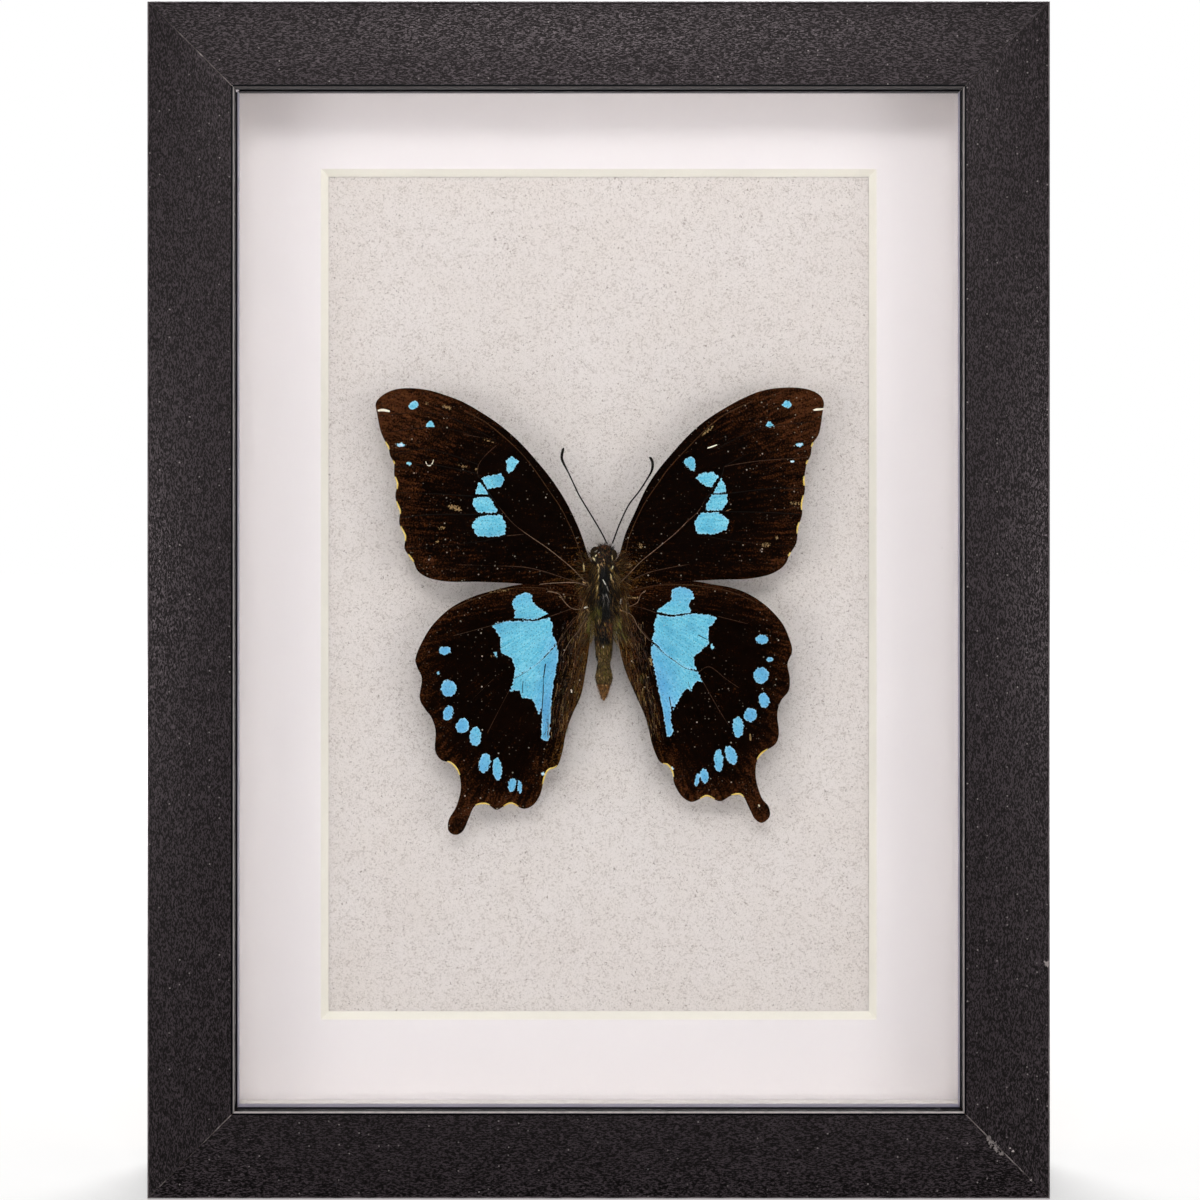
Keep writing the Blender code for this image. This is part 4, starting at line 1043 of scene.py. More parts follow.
scales = wingScales()
stripeLooks = {
    "dark": chitin("blackVein", "050302", "0c0805", 0.6),
    "faint": chitin("wornBrownVein", "1a100a", "4c3628", 0.6),
    "pale": chitin("bareTanVein", "46352a", "8e7563", 0.5),
    "brown": chitin("brownCostalVein", "140b06", "4a3018", 0.6),
    "tan": chitin("rubbedTanMembrane", "2a1a10", "a8875a", 0.8),
    "bare": chitin("creamScales", "e4dcc4", "fbf6e6", 0.8),
    "frost": chitin("paleBlueScales", "9fc4e2", "e2ecf6", 0.8),
    "rim": chitin("yellowMarginScales", "e0b53c", "f7e08a", 0.8),
}
# height over the wing in millimetres
stripeLift = {
    "dark": 0.05, "faint": 0.05, "pale": 0.09, "brown": 0.08, "tan": 0.02, "bare": 0.02,
    "frost": 0.02, "rim": 0.03,
}


def tube(name, line, radii, material, sides):
    # a closed tube through millimetre points on the insect, made a mesh
    curve = bpy.data.curves.new(name, "CURVE")
    curve.dimensions = "3D"
    curve.bevel_depth = 1 * mm
    curve.bevel_resolution = sides
    curve.use_fill_caps = True
    spline = curve.splines.new("POLY")
    spline.points.add(len(line) - 1)
    for point, spot, radius in zip(spline.points, line, radii):
        point.co = (*onInsect(*spot), 1.0)
        point.radius = radius
    obj = bpy.data.objects.new(name, curve)
    bpy.context.collection.objects.link(obj)
    curve.materials.append(material)
    lone(obj)
    bpy.ops.object.convert(target="MESH")
    return bpy.context.object


def layStripe(name, kind, wide, route, hind):
    # a vein or a mark: a flattened tube half sunk in the wing, thinner towards its far end
    right, up = curveThrough(route, 5).T
    share = np.linspace(0, 1, len(right))
    veins = kind in ("pale", "faint", "dark", "brown")
    ends = 1 - 0.35 * share if veins else np.sin(np.pi * (0.12 + 0.76 * share)) ** 0.6
    line = list(zip(right, up, wingDepth(right, up, hind)))
    obj = tube(name, line, wide / 2 * ends, stripeLooks[kind], 1)
    points = pointsOf(obj.data)
    right, up = (points[:, ::2] / mm - insect["thorax"][:2]).T
    middle = wingDepth(right, up, hind)
    off = (points[:, 1] - frontY) / mm - middle
    back = middle - insect["membrane"] / 2 + off * stripeLift[kind] / (wide / 2)
    points[:, 1] = frontY + back * mm
    obj.data.vertices.foreach_set("co", points.ravel())
    return obj


def cutSheet(name, loop):
    # a fine grid in the plane of the wing, trimmed to the outline, its border drawn onto it
    low, high = loop.min(0) - insect["pitch"], loop.max(0) + insect["pitch"]
    cells = [int(n) for n in (high - low) / insect["pitch"]]
    bpy.ops.mesh.primitive_grid_add(x_subdivisions=cells[0], y_subdivisions=cells[1], size=2)
    sheet = bpy.context.object
    sheet.name = name
    spots = low + (pointsOf(sheet.data)[:, :2] + 1) / 2 * (high - low)
    placed = np.column_stack([spots, np.zeros(len(spots))]) * mm
    sheet.data.vertices.foreach_set("co", placed.ravel())
    enter(sheet)
    mesh = bmesh.from_edit_mesh(sheet.data)
    centres = np.array([f.calc_center_median().xy / mm for f in mesh.faces])
    inside = toLoop(centres, loop)[0] > 0
    for face, keep in zip(mesh.faces, inside):
        face.select_set(not keep)
    bmesh.update_edit_mesh(sheet.data)
    bpy.ops.mesh.delete(type="FACE")
    mesh = bmesh.from_edit_mesh(sheet.data)
    border = [v for v in mesh.verts if v.is_boundary]
    onEdge = toLoop(np.array([v.co.xy / mm for v in border]), loop)[1]
    for vert, spot in zip(border, onEdge):
        vert.co.xy = spot * mm
    bmesh.update_edit_mesh(sheet.data)
    leave()
    return sheet


def markWing(mesh, wing, spots, margin):
    # how blue, browned, rusty, violet and rubbed each spot is, for the material to read
    patches = [fromPhoto(p) for p in wing["blue"]] + [fromPhoto(ellipse(*s)) for s in wing["spots"]]
    blue = np.max([toLoop(spots, patch)[0] for patch in patches], axis=0)
    heart = np.linalg.norm(spots - fromPhoto([wing["darkHeart"]])[0], axis=1)
    heart /= wing["heartSize"] * photoScale["mmPerPixel"]
    fromRoot = np.linalg.norm(spots, axis=1)
    if wing["hind"]:
        outer = np.clip(1.15 - margin / 5.0, 0, 1) * 0.4 + np.clip(heart - 0.8, 0, 1) * 0.25
        inner = np.clip(1.2 - np.abs(spots[:, 0]) / (4.2 + 0.22 * np.abs(spots[:, 1])), 0, 1)
        rust = np.clip(inner * 1.6, 0, 0.8) + np.clip(1 - fromRoot / 10, 0, 1) * 0.3
        violet = 0.3 * np.clip((spots[:, 1] + 4.4) / 3.0, 0, 1)
        below = np.clip((-7.0 - spots[:, 1]) / 3.0, 0, 1)
        violet += 0.5 * np.clip(2.2 - margin / 4.0, 0, 1) * below
    else:
        outer = np.clip(heart - 0.28, 0, 0.78)
        rust = np.clip(1.1 - fromRoot / 13, 0, 1) * 0.95
        violet = np.zeros(len(spots))
    rubbed = np.zeros(len(spots))
    if wing["rubbed"]:
        worn = [toLoop(spots, fromPhoto(ellipse(*s)))[0] for s in wing["rubbed"]]
        rubbed = np.clip(0.4 + np.max(worn, axis=0), 0, 0.56)
    setFloat(mesh, "blue", np.clip(blue, -2, 2))
    setFloat(mesh, "outer", outer)
    setFloat(mesh, "rust", rust)
    setFloat(mesh, "violet", violet)
    setFloat(mesh, "rubbed", rubbed)


def fanMap(mesh, hind, spots):
    # a UV map across and along the rows of scales, which run out from near the root
    side = -1 if spots[:, 0].mean() < 0 else 1
    ray = (spots - fanLook[hind]["centre"] * np.array([side, 1])) * (side, 1)
    angle = np.arctan2(ray[:, 1], ray[:, 0])
    fan = np.column_stack([angle * fanLook[hind]["spread"], np.linalg.norm(ray, axis=1)])
    layer = mesh.uv_layers[0]
    layer.name = "fan"
    corners = np.empty(len(mesh.loops), np.int32)
    mesh.loops.foreach_get("vertex_index", corners)
    layer.data.foreach_set("uv", fan[corners].astype(np.float32).ravel())
    return fan


def makeWing(node, wing):
    hind = wing["hind"]
    loop = curveThrough(wing["outline"], 5)
    sheet = cutSheet(node.replace("wing_", "wingScaled_"), loop)
    spots = pointsOf(sheet.data)[:, :2] / mm
    margin = toLoop(spots, loop)[0]
    markWing(sheet.data, wing, spots, margin)
    fan = fanMap(sheet.data, hind, spots)
    ripple = insect["ripple"] * np.sin(fan[:, 0] * 1.6) * np.clip(margin / 3.0, 0, 1)
    backs = wingDepth(spots[:, 0], spots[:, 1], hind) + ripple
    stood = toWorld(*spots.T, backs) * mm
    sheet.data.vertices.foreach_set("co", stood.ravel())
    sheet.data.update()
    sheet.data.materials.append(scales)
    thick = sheet.modifiers.new("membrane", "SOLIDIFY")
    thick.thickness = insect["membrane"] * mm
    thick.offset = 0
    applyModifiers(sheet)
    smooth(sheet, 50)

    laid = []
    size = photoScale["mmPerPixel"]
    for i, (kind, wide, route) in enumerate(wing["stripes"]):
        name = "%s_%s%d" % (node, kind, i)
        laid.append(layStripe(name, kind, wide * size, fromPhoto(route), hind))
    for i, ends in enumerate(wing["rims"]):
        near = [np.linalg.norm(loop - np.array(p), axis=1).argmin() for p in fromPhoto(ends)]
        run = loop[min(near) : max(near) + 1]
        inward = loop.mean(0) - run
        run = run + 0.1 * inward / np.linalg.norm(inward, axis=1)[:, None]
        laid.append(layStripe("%s_rim%d" % (node, i), "rim", wingLook["rimWide"], run[::2], hind))
    joinTo(sheet, laid)
    settle(sheet, "wing_scales", node)
    print("%s: %d faces" % (sheet.name, len(sheet.data.polygons)))


for node, wing in wings.items():
    makeWing(node, wing)


# The body: rings of (up, half width, half depth, behind) in millimetres from the middle of the
# thorax, and coats of (colour, share, left, right, low, high): each spot takes the first that hits
body = {
    "rings": [(7.1, 0.5, 0.5, -0.2), (6.6, 1.5, 1.2, -0.1), (5.6, 2.0, 1.6, 0), (4.6, 1.8, 1.7, 0),
              (3.5, 2.2, 2.3, 0), (1.8, 2.45, 2.7, 0), (0, 2.5, 2.8, 0), (-2.0, 2.4, 2.7, 0),
              (-3.8, 2.1, 2.4, 0.1), (-5.2, 1.7, 1.95, 0.2), (-7.2, 1.6, 1.7, 0.3),
              (-10.0, 1.5, 1.55, 0.5), (-12.2, 1.3, 1.4, 0.6), (-13.4, 0.95, 1.15, 0.65),
              (-14.6, 1.2, 1.3, 0.7), (-16.0, 1.5, 1.35, 0.8), (-17.2, 1.15, 1.05, 0.9),
              (-18.4, 0.7, 0.75, 1.0), (-19.6, 0.35, 0.4, 1.05), (-20.2, 0.12, 0.15, 1.05)],
    "sides": 48, "segment": 1.85, "groove": 0.06, "abdomen": -5.5,
    "eyes": [(-1.45, 5.7, 1.05), (1.5, 5.4, 0.95)],
}
coats = {
    "black": "050302", "soot": "150d07", "brown": "3a2310", "rust": "643517", "olive": "5c5518",
    "drab": "57431f", "amber": "9a632a", "gold": "9c7836", "tan": "b8925f", "straw": "cdb47c",
    "cream": "ecdcaa", "white": "efe9dc", "grey": "8a837c",
}
bodyCoat = [
    ("tan", 0.08, -0.6, 0.6, -30, -17.2), ("amber", 0.4, -2, 2, -30, -17.2),
    ("brown", 0.8, -2, 2, -30, -17.0), ("black", 0.95, -0.7, 0.85, -10.4, -8.9),
    ("black", 0.9, -1.7, -1.0, -14.2, -12.0), ("tan", 0.07, -2, 2, -17.2, -10.4),
    ("drab", 0.5, -2, 2, -17.2, -10.4), ("olive", 0.2, -2, 2, -17.2, -10.4),
    ("black", 0.35, -2, 2, -13, -10.4), ("rust", 0.2, 0.5, 1.8, -9.0, -6.5),
    ("olive", 0.4, -1.9, -0.4, -5.6, -3.0), ("grey", 0.08, -0.3, 0.9, -2.8, 0.8),
    ("black", 0.95, -0.75, 0.95, -5.5, 3.2), ("gold", 0.14, -1.4, -0.8, -1.2, 3.9),
    ("gold", 0.14, 1.15, 1.9, 0.5, 3.6), ("tan", 0.06, -0.9, 0.4, 3.6, 5.0),
    ("tan", 0.16, -3.1, -2.0, -0.9, 0.9), ("tan", 0.12, 1.8, 2.8, -0.2, 2.2),
    ("tan", 0.16, 2.1, 3.1, -4.8, -3.2), ("olive", 0.25, -4, -2.0, -9.5, -5.5),
    ("olive", 0.25, 2.0, 4.2, -10.5, -6.0), ("gold", 0.05, -9, 9, -10, 4),
    ("black", 0.55, -9, 9, -10, 8), ("drab", 0.12, -9, 9, -12, 8), ("rust", 0.1, -9, 9, -12, 8),
    ("brown", 0.4, -9, 9, -30, 8), ("soot", 1.0, -99, 99, -99, 99),
]
# single tufts that show: (colour, width, from, to), in pixels of the photograph
tufts = [
    # the second cream tuft here lies on the left eye: a painted highlight on it
    ("cream", 2.2, (594.6, 560.5), (592.2, 556)), ("cream", 1.6, (594, 557), (595.8, 553.8)),
    ("straw", 1.6, (582.6, 561.5), (583.6, 571)), ("straw", 1.6, (596.5, 562.5), (598.8, 566.5)),
    ("straw", 1.3, (598.5, 566), (597.6, 572)), ("straw", 1.2, (598.3, 572), (597.9, 578)),
    ("straw", 1.0, (597.4, 583), (596.2, 590)), ("cream", 1.5, (613, 564.5), (610.2, 569.5)),
    ("straw", 1.7, (609.8, 572.5), (610.8, 578.5)), ("tan", 1.2, (610.8, 578), (613.6, 581.5)),
    ("tan", 1.5, (602.8, 557.5), (603.6, 561)), ("straw", 1.1, (611.3, 554.5), (611.8, 559)),
    ("tan", 1.2, (600.5, 561.5), (602.4, 565.5)), ("white", 1.3, (602.2, 578), (605, 583.8)),
    ("tan", 2.6, (587, 581.5), (589.6, 586.5)), ("tan", 1.5, (587.5, 586), (586, 590.5)),
    ("tan", 1.3, (581, 580.6), (585, 582.4)), ("white", 2.2, (583.5, 607.4), (587.6, 605.6)),
    ("tan", 1.8, (585.8, 608), (588.2, 611)), ("white", 1.5, (619.6, 603), (620.2, 598.2)),
    ("tan", 2.6, (616, 604.6), (619.4, 608.6)), ("tan", 1.6, (618, 608), (622, 611)),
    ("olive", 2.6, (597.2, 605.5), (598.6, 614.5)), ("olive", 2.4, (618.4, 621), (620.6, 630)),
    ("olive", 1.9, (620.6, 630), (625, 640.5)), ("olive", 2.2, (588.4, 619), (586.4, 632)),
    ("tan", 0.9, (597.6, 617.5), (598.3, 624)), ("grey", 1.1, (606, 584.5), (608, 590.5)),
    ("grey", 0.9, (605, 592), (608.6, 600)), ("grey", 0.9, (602, 591.5), (603.2, 598)),
    ("rust", 2.0, (609.2, 621), (610.6, 630.5)), ("tan", 0.9, (612.6, 596), (611.6, 604)),
    ("tan", 1.0, (591, 612.5), (593.6, 613.8)), ("tan", 1.1, (615.5, 574.5), (617.5, 576)),
    # the two grey tufts here lie on the left eye: painted highlights on it
    ("grey", 1.3, (594, 551.5), (597, 549.2)), ("grey", 1.0, (597.4, 552.4), (599.6, 551)),
    ("white", 1.4, (602.6, 646.6), (603, 645)), ("tan", 0.9, (602.8, 653.6), (603, 652.4)),
    ("rust", 1.4, (600.5, 547.5), (603.6, 544)), ("rust", 1.2, (603.4, 548), (606, 544.6)),
]


def coatOf(right, up, rules):
    # linear colours for many spots at once, by the first rule whose box and share take each
    draw = chance.random(len(right))
    colours = np.zeros((len(right), 4))
    free = np.ones(len(right), bool)
    for name, share, left, rightmost, low, high in rules:
        inBox = (right > left) & (right < rightmost) & (up > low) & (up < high)
        hit = free & inBox & (draw < share)
        colours[hit] = fromHex(coats[name])
        free &= ~hit
        draw = np.where(free, chance.random(len(right)), draw)
    return colours


def setColours(mesh, values):
    layer = mesh.attributes.new("coat", "FLOAT_COLOR", "POINT")
    layer.data.foreach_set("color", np.asarray(values, np.float32).ravel())


def insectCoat(name, spread, roughness, specular):
    # scales and hairs take their colour from what covers each spot, a little uneven, not glossy
    made, add, shader, inMm = newMaterial(name)
    grain = add("TexNoise", {"Vector": inMm, "Scale": 1 / 0.16, "Detail": 2.0, "Roughness": 0.7})
    coat = add("Attribute", attribute_name="coat")
    gain = add("MapRange", {0: grain, 1: 0.3, 2: 0.7, 3: 1 - spread, 4: 1 + spread})
    colour = add("VectorMath", {0: coat.outputs["Color"], 3: gain}, operation="SCALE")
    relief = add("Bump", {"Height": grain, "Strength": 0.4, "Distance": 0.04 * mm})
    feed(shader, {"Roughness": roughness, "Specular IOR Level": specular, "Base Color": colour,
                  "Normal": relief})
    return made


bodyScales = insectCoat("bodyScales", 0.7, 0.75, 0.15)
insectHair = insectCoat("combedInsectHair", 0.35, 0.55, 0.25)
eyeGloss = chitin("compoundEyeCuticle", "0a0705", "3a2e1e", 0.25)


def ringAt(up):
    rings = np.array(body["rings"])[::-1]
    return [np.interp(up, rings[:, 0], rings[:, i]) for i in (1, 2, 3)]


def makeBody():
    fine = curveThrough(body["rings"], 5)
    wave = np.clip((body["abdomen"] - fine[:, 0]) / 1.5, 0, 1)
    wave *= np.clip((fine[:, 0] + 18.5) / 2, 0, 1)
    pinch = 1 - body["groove"] * wave * np.abs(np.cos(np.pi * fine[:, 0] / body["segment"])) ** 6
    fine[:, 1] *= pinch
    fine[:, 2] *= pinch
    middle = insect["thorax"][2]
    up, wide, deep, behind = fine[0]
    start = onInsect(0, up, middle + behind)
    bpy.ops.mesh.primitive_circle_add(vertices=body["sides"], radius=1.0, location=start)
    trunk = bpy.context.object
    trunk.name = "bodyTrunk"
    trunk.scale = (wide * mm, deep * mm, 1)
    applyPlace(trunk)
    enter(trunk, "EDGE")
    bpy.ops.mesh.select_all(action="SELECT")
    for ring in fine[1:]:
        bpy.ops.mesh.extrude_edges_move(TRANSFORM_OT_translate={
            "value": (0, (ring[3] - behind) * mm, (ring[0] - up) * mm)})
        bpy.ops.transform.resize(value=(ring[1] / wide, ring[2] / deep, 1),
                                 center_override=onInsect(0, ring[0], middle + ring[3]))
        up, wide, deep, behind = ring
    bpy.ops.mesh.select_all(action="SELECT")
    bpy.ops.mesh.region_to_loop()
    bpy.ops.mesh.fill()
    bpy.ops.mesh.select_all(action="SELECT")
    bpy.ops.mesh.normals_make_consistent(inside=False)
    leave()
    trunk.data.materials.append(bodyScales)
    for right, up, radius in body["eyes"]:
        bpy.ops.mesh.primitive_uv_sphere_add(segments=28, ring_count=16, radius=radius * mm,
                                             location=onInsect(right, up, middle - 0.3))
        eye = bpy.context.object
        eye.scale = (0.9, 1.0, 1.1)
        eye.data.materials.append(eyeGloss)
        applyPlace(eye)
        joinTo(trunk, [eye])
    right, up = (pointsOf(trunk.data)[:, ::2] / mm - insect["thorax"][:2]).T
    setColours(trunk.data, coatOf(right, up, bodyCoat))
    smooth(trunk, 60)
    settle(trunk, "insect_body", "body")


makeBody()

hair = {"root": 0.04, "bend": 0.35, "cuts": (0.35, 0.7), "tuft": 7}


def makeStrand():
    # one hair of unit length and unit root radius, made once and then copied
    bpy.ops.mesh.primitive_cone_add(
        vertices=3, radius1=1.0, radius2=0.0, depth=1.0, location=(0, 0, 0.5))
    strand = bpy.context.object
    applyPlace(strand)
    enter(strand)
    for cut in hair["cuts"]:
        bpy.ops.mesh.select_all(action="SELECT")
        bpy.ops.mesh.bisect(plane_co=(0, 0, cut), plane_no=(0, 0, 1))
    bpy.ops.mesh.select_all(action="SELECT")
    bpy.ops.mesh.quads_convert_to_tris()
    leave()
    points = np.array([v.co[:] for v in strand.data.vertices])
    faces = np.array([p.vertices[:] for p in strand.data.polygons])
    bpy.data.objects.remove(strand)
    return points, faces


strandPoints, strandFaces = makeStrand()


def unit(rows):
    return rows / np.maximum(np.linalg.norm(rows, axis=1, keepdims=True), 1e-9)


def growHair(name, roots, lean, curl, lengths, thickness, colours):
    # roots in world millimetres; each hair sets off along lean and curves towards curl
    lean, curl = unit(lean), unit(curl)
    side = unit(np.cross(lean, curl) + 1e-4)
    front = np.cross(side, lean)
    along = strandPoints[:, 2]
    bend = hair["bend"] * along**2
    course = lean[:, None] * along[None, :, None] + curl[:, None] * bend[None, :, None]
    spine = roots[:, None] + lengths[:, None, None] * course
    thick = thickness[:, None, None] if np.ndim(thickness) else thickness
    rim = side[:, None] * strandPoints[None, :, :1] + front[:, None] * strandPoints[None, :, 1:2]
    points = (spine + thick * rim).reshape(-1, 3) * mm
    firsts = len(strandPoints) * np.arange(len(roots))
    faces = (strandFaces[None] + firsts[:, None, None]).reshape(-1, 3)
    mesh = bpy.data.meshes.new(name)
    mesh.from_pydata(points.tolist(), [], faces.tolist())
    fade = 0.75 + 0.5 * along
    tinted = colours[:, None] * fade[None, :, None]
    tinted[..., 3] = 1.0
    setColours(mesh, tinted.reshape(-1, 4))
    mesh.materials.append(insectHair)
    obj = bpy.data.objects.new(name, mesh)
    bpy.context.collection.objects.link(obj)
    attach(obj, "root")
    print("%s: %d hairs, %d faces" % (name, len(roots), len(faces)))
    return obj


pelts = {  # how many, between which heights, hair length, how far it stands off
    "headHair": {"count": 520, "low": 4.3, "high": 7.2, "length": (0.35, 0.75), "stand": 0.8},
    "thoraxHair": {"count": 4200, "low": -5.2, "high": 4.8, "length": (0.7, 1.4), "stand": 0.4},
    "abdomenHair": {"count": 3600, "low": -19.6, "high": -4.6, "length": (0.2, 0.45), "stand": 0.2},
}


def makePelt(name, pelt):
    count = pelt["count"]
    up = chance.uniform(pelt["low"], pelt["high"], count)
    turn = chance.uniform(-2.0, 2.0, count)
    wide, deep, behind = ringAt(up)
    right, back = wide * np.sin(turn), behind - deep * np.cos(turn)
    outward = np.column_stack([np.sin(turn) / wide, -np.cos(turn) / deep, np.zeros(count)])
    down = np.column_stack([0.25 * np.sin(turn), np.zeros(count), -np.ones(count)])
    if name == "headHair":
        down[:, 2] = np.where(up > 5.8, 0.8, -0.5)
    stray = chance.normal(0, 0.22, (count, 3))
    lean = unit(outward) * pelt["stand"] + unit(down) + stray
    colours = coatOf(right * 1.04, up, bodyCoat) * chance.uniform(0.4, 1.3, count)[:, None]
    lengths = chance.uniform(*pelt["length"], count)
    for x, z, radius in body["eyes"]:  # the eyes stay bare
        lengths = np.where(np.hypot(right - x, up - z) < radius, lengths * 0.35, lengths)
    growHair(name, toWorld(right, up, insect["thorax"][2] + back), lean, down, lengths,
             hair["root"] * chance.uniform(0.6, 1.2, count), colours)


for name, pelt in pelts.items():
    makePelt(name, pelt)


def makeTufts():
    # a tuft is a few thick hairs side by side, lying on the body or on the wing beside it
    rows = []
    for colour, wide, start, end in tufts:
        (x0, y0), (x1, y1) = fromPhoto([start, end])
        run = np.array([x1 - x0, y1 - y0])
        across = np.array([run[1], -run[0]]) / np.linalg.norm(run)
        spread = wide * photoScale["mmPerPixel"] * 0.5
        for i in range(hair["tuft"]):
            place = 2 * i / (hair["tuft"] - 1) - 1
            x, y = across * spread * place * 0.6 + run * chance.uniform(0, 0.6)
            rows.append((colour, x0 + x, y0 + y, *(run * chance.uniform(0.3, 0.6)), wide))
    right, up, runRight, runUp, wide = (np.array([row[i] for row in rows]) for i in (1, 2, 3, 4, 5))
    reach, deep, behind = ringAt(up)
    share = np.clip(right / reach, -1, 1)
    onBody = insect["thorax"][2] + behind - deep * np.sqrt(1 - share**2) - 0.3
    onWing = np.where(up > 0, wingDepth(right, up, False), wingDepth(right, up, True)) - 0.25
    back = np.minimum(onBody, np.where(np.abs(right) > reach * 0.8, onWing, 99))
    # tufts that fall on an eye lie just in front of it, as painted highlights on the eye
    eyes = [np.hypot(right - x, up - z) < r for x, z, r in body["eyes"]]
    back = np.where(np.any(eyes, axis=0), insect["thorax"][2] - 1.45, back)
    lean = np.column_stack([runRight, -0.1 * np.ones(len(rows)), runUp])
    colours = np.array([fromHex(coats[row[0]]) for row in rows])
    colours *= chance.uniform(0.5, 1.25, len(rows))[:, None]
    growHair("bodyTufts", toWorld(right, up, back), lean, lean + (0, 0.3, 0),
             np.hypot(runRight, runUp) * 1.05, hair["root"] * (0.8 + 0.3 * wide), colours)


makeTufts()

# hair that spreads from the thorax over the roots of the wings, and hair along the hindwings'
# inner fields: how many, the stretch of root heights, where it points, its lengths, its coats
wingCoat = [
    ("tan", 0.06, -99, 99, -99, 99), ("gold", 0.05, -99, 99, -99, 99),
    ("olive", 0.4, -2.8, 2.8, -8.6, -4.4), ("olive", 0.08, -99, 99, -99, 99),
    ("rust", 0.12, -99, 99, -99, 99), ("brown", 0.3, -99, 99, -99, 99),
    ("black", 1.0, -99, 99, -99, 99),
]
rootHair = {
    "forewingRootHair": {"hind": False, "count": 520, "near": (1.6, 4.4), "heights": (-0.4, 5.6),
                         "aim": (1.0, 0.25), "length": (0.7, 1.8)},
    "hindwingRootHair": {"hind": True, "count": 760, "near": (1.5, 4.2), "heights": (-9.5, -0.4),
                         "aim": (0.55, -1.0), "length": (0.8, 2.0)},
    "innerFieldHair": {"hind": True, "count": 760, "near": (2.6, 7.2), "heights": (-26.0, -6.0),
                       "aim": (0.16, -1.0), "length": (0.5, 1.4)},
    "flankHair": {"hind": True, "count": 420, "near": (1.5, 2.8), "heights": (-7.6, -3.6),
                  "aim": (0.06, -1.0), "length": (0.7, 1.3)},
}


def makeWingHair(name, kind, side, outline):
    count = kind["count"]
    up = chance.uniform(*kind["heights"], count)
    out = chance.uniform(*kind["near"], count)
    if name == "innerFieldHair":
        out += np.interp(-up, [6.0, 15.0, 26.0], [0.0, 0.6, 3.4])
    right = side * out
    loop = curveThrough(outline, 4)
    room = toLoop(np.column_stack([right, up]), loop)[0]
    keep = room > (-0.9 if name != "innerFieldHair" else 0.05)
    up, out, right = up[keep], out[keep], right[keep]
    count = len(up)
    back = wingDepth(right, up, kind["hind"]) - insect["membrane"] / 2 - 0.02
    aim = np.tile((side * kind["aim"][0], 0.0, kind["aim"][1]), (count, 1))
    if name == "forewingRootHair":
        aim[:, 2] = (up - 1.5) * 0.35
    stray = [chance.normal(0, 0.16, count), -chance.uniform(0.0, 0.14, count),
             chance.normal(0, 0.16, count)]
    lean = unit(aim) + np.column_stack(stray)
    curl = np.tile((0.0, 0.3, -1.0), (count, 1))
    colours = coatOf(right, up, wingCoat) * chance.uniform(0.5, 1.3, count)[:, None]
    growHair(name, toWorld(right, up, back), lean, curl, chance.uniform(*kind["length"], count),
             hair["root"] * chance.uniform(0.6, 1.1, count), colours)


for kindName, kind in rootHair.items():
    for side, word in ((-1, "left"), (1, "right")):
        wingName = ("hindwing_" if kind["hind"] else "forewing_") + word
        name = kindName + word.capitalize()
        makeWingHair(kindName, kind, side, wings[wingName]["outline"])
        bpy.data.objects[kindName].name = name

antenna = {
    "left": [(0.5, 7.4), (-0.1, 8.7), (-1.4, 11.0), (-2.8, 13.3), (-4.3, 15.8), (-5.4, 18.1),
             (-6.3, 20.0), (-7.2, 21.8), (-7.3, 22.8), (-7.0, 24.1)],
    "right": [(1.5, 7.4), (1.9, 8.5), (2.6, 10.4), (3.6, 12.7), (4.6, 14.5), (6.1, 16.4),
              (7.4, 18.4), (8.3, 20.0), (8.5, 21.2), (8.3, 22.0), (7.9, 22.5)],
    "radius": 0.135, "club": 1.9, "swell": 0.72, "ring": 0.28, "lift": 0.6, "drop": 1.2,
}
antennaCuticle = chitin("blackAntennaCuticle", "070504", "1b130d", 0.4)


def makeAntenna(word):
    route = curveThrough(antenna[word], 14)
    steps = lengthsAlong(route)
    rings = np.arange(0, steps[-1], antenna["ring"] / 4)
    right, up = (np.interp(rings, steps, route[:, i]) for i in (0, 1))
    along = rings / steps[-1]
    club = np.clip((along - antenna["swell"]) / 0.2, 0, 1)
    club = 1 + (antenna["club"] - 1) * club * club * (3 - 2 * club)
    tip = np.clip((1 - along) / 0.02, 0.15, 1) ** 0.5
    joint = 1 - 0.12 * (np.arange(len(rings)) % 4 == 0)
    radii = antenna["radius"] * club * tip * joint
    back = insect["thorax"][2] - antenna["lift"] - antenna["drop"] * along
    obj = tube("antennaRinged_" + word, list(zip(right, up, back)), radii, antennaCuticle, 2)
    smooth(obj, 60)
    settle(obj, "insect_limb", "antenna_" + word)


makeAntenna("left")
makeAntenna("right")

leg = {
    "pairs": ("front", "middle", "hind"), "hip": 3.0, "hipStep": -2.4, "spines": 40,
    # joints out from, above and behind the hip, and what each pair further back adds to them
    "joints": [(1.0, 0, 16.5), (3.0, -0.5, 17.5), (2.3, -3.6, 18.4), (1.9, -6.0, 19.2)],
    "drift": [(0, 0, 0), (0.3, -0.5, 0.3), (0.3, -0.2, 0.5), (0.3, -0.2, 0.5)],
    # share of its length and radius there
    "radii": [(0, 0.12), (0.12, 0.24), (0.33, 0.2), (0.38, 0.13), (0.42, 0.18), (0.66, 0.13),
              (0.7, 0.09), (0.85, 0.1), (1, 0.05)],
}
legCuticle = chitin("brownLegCuticle", "1a100a", "4a3220", 0.45)


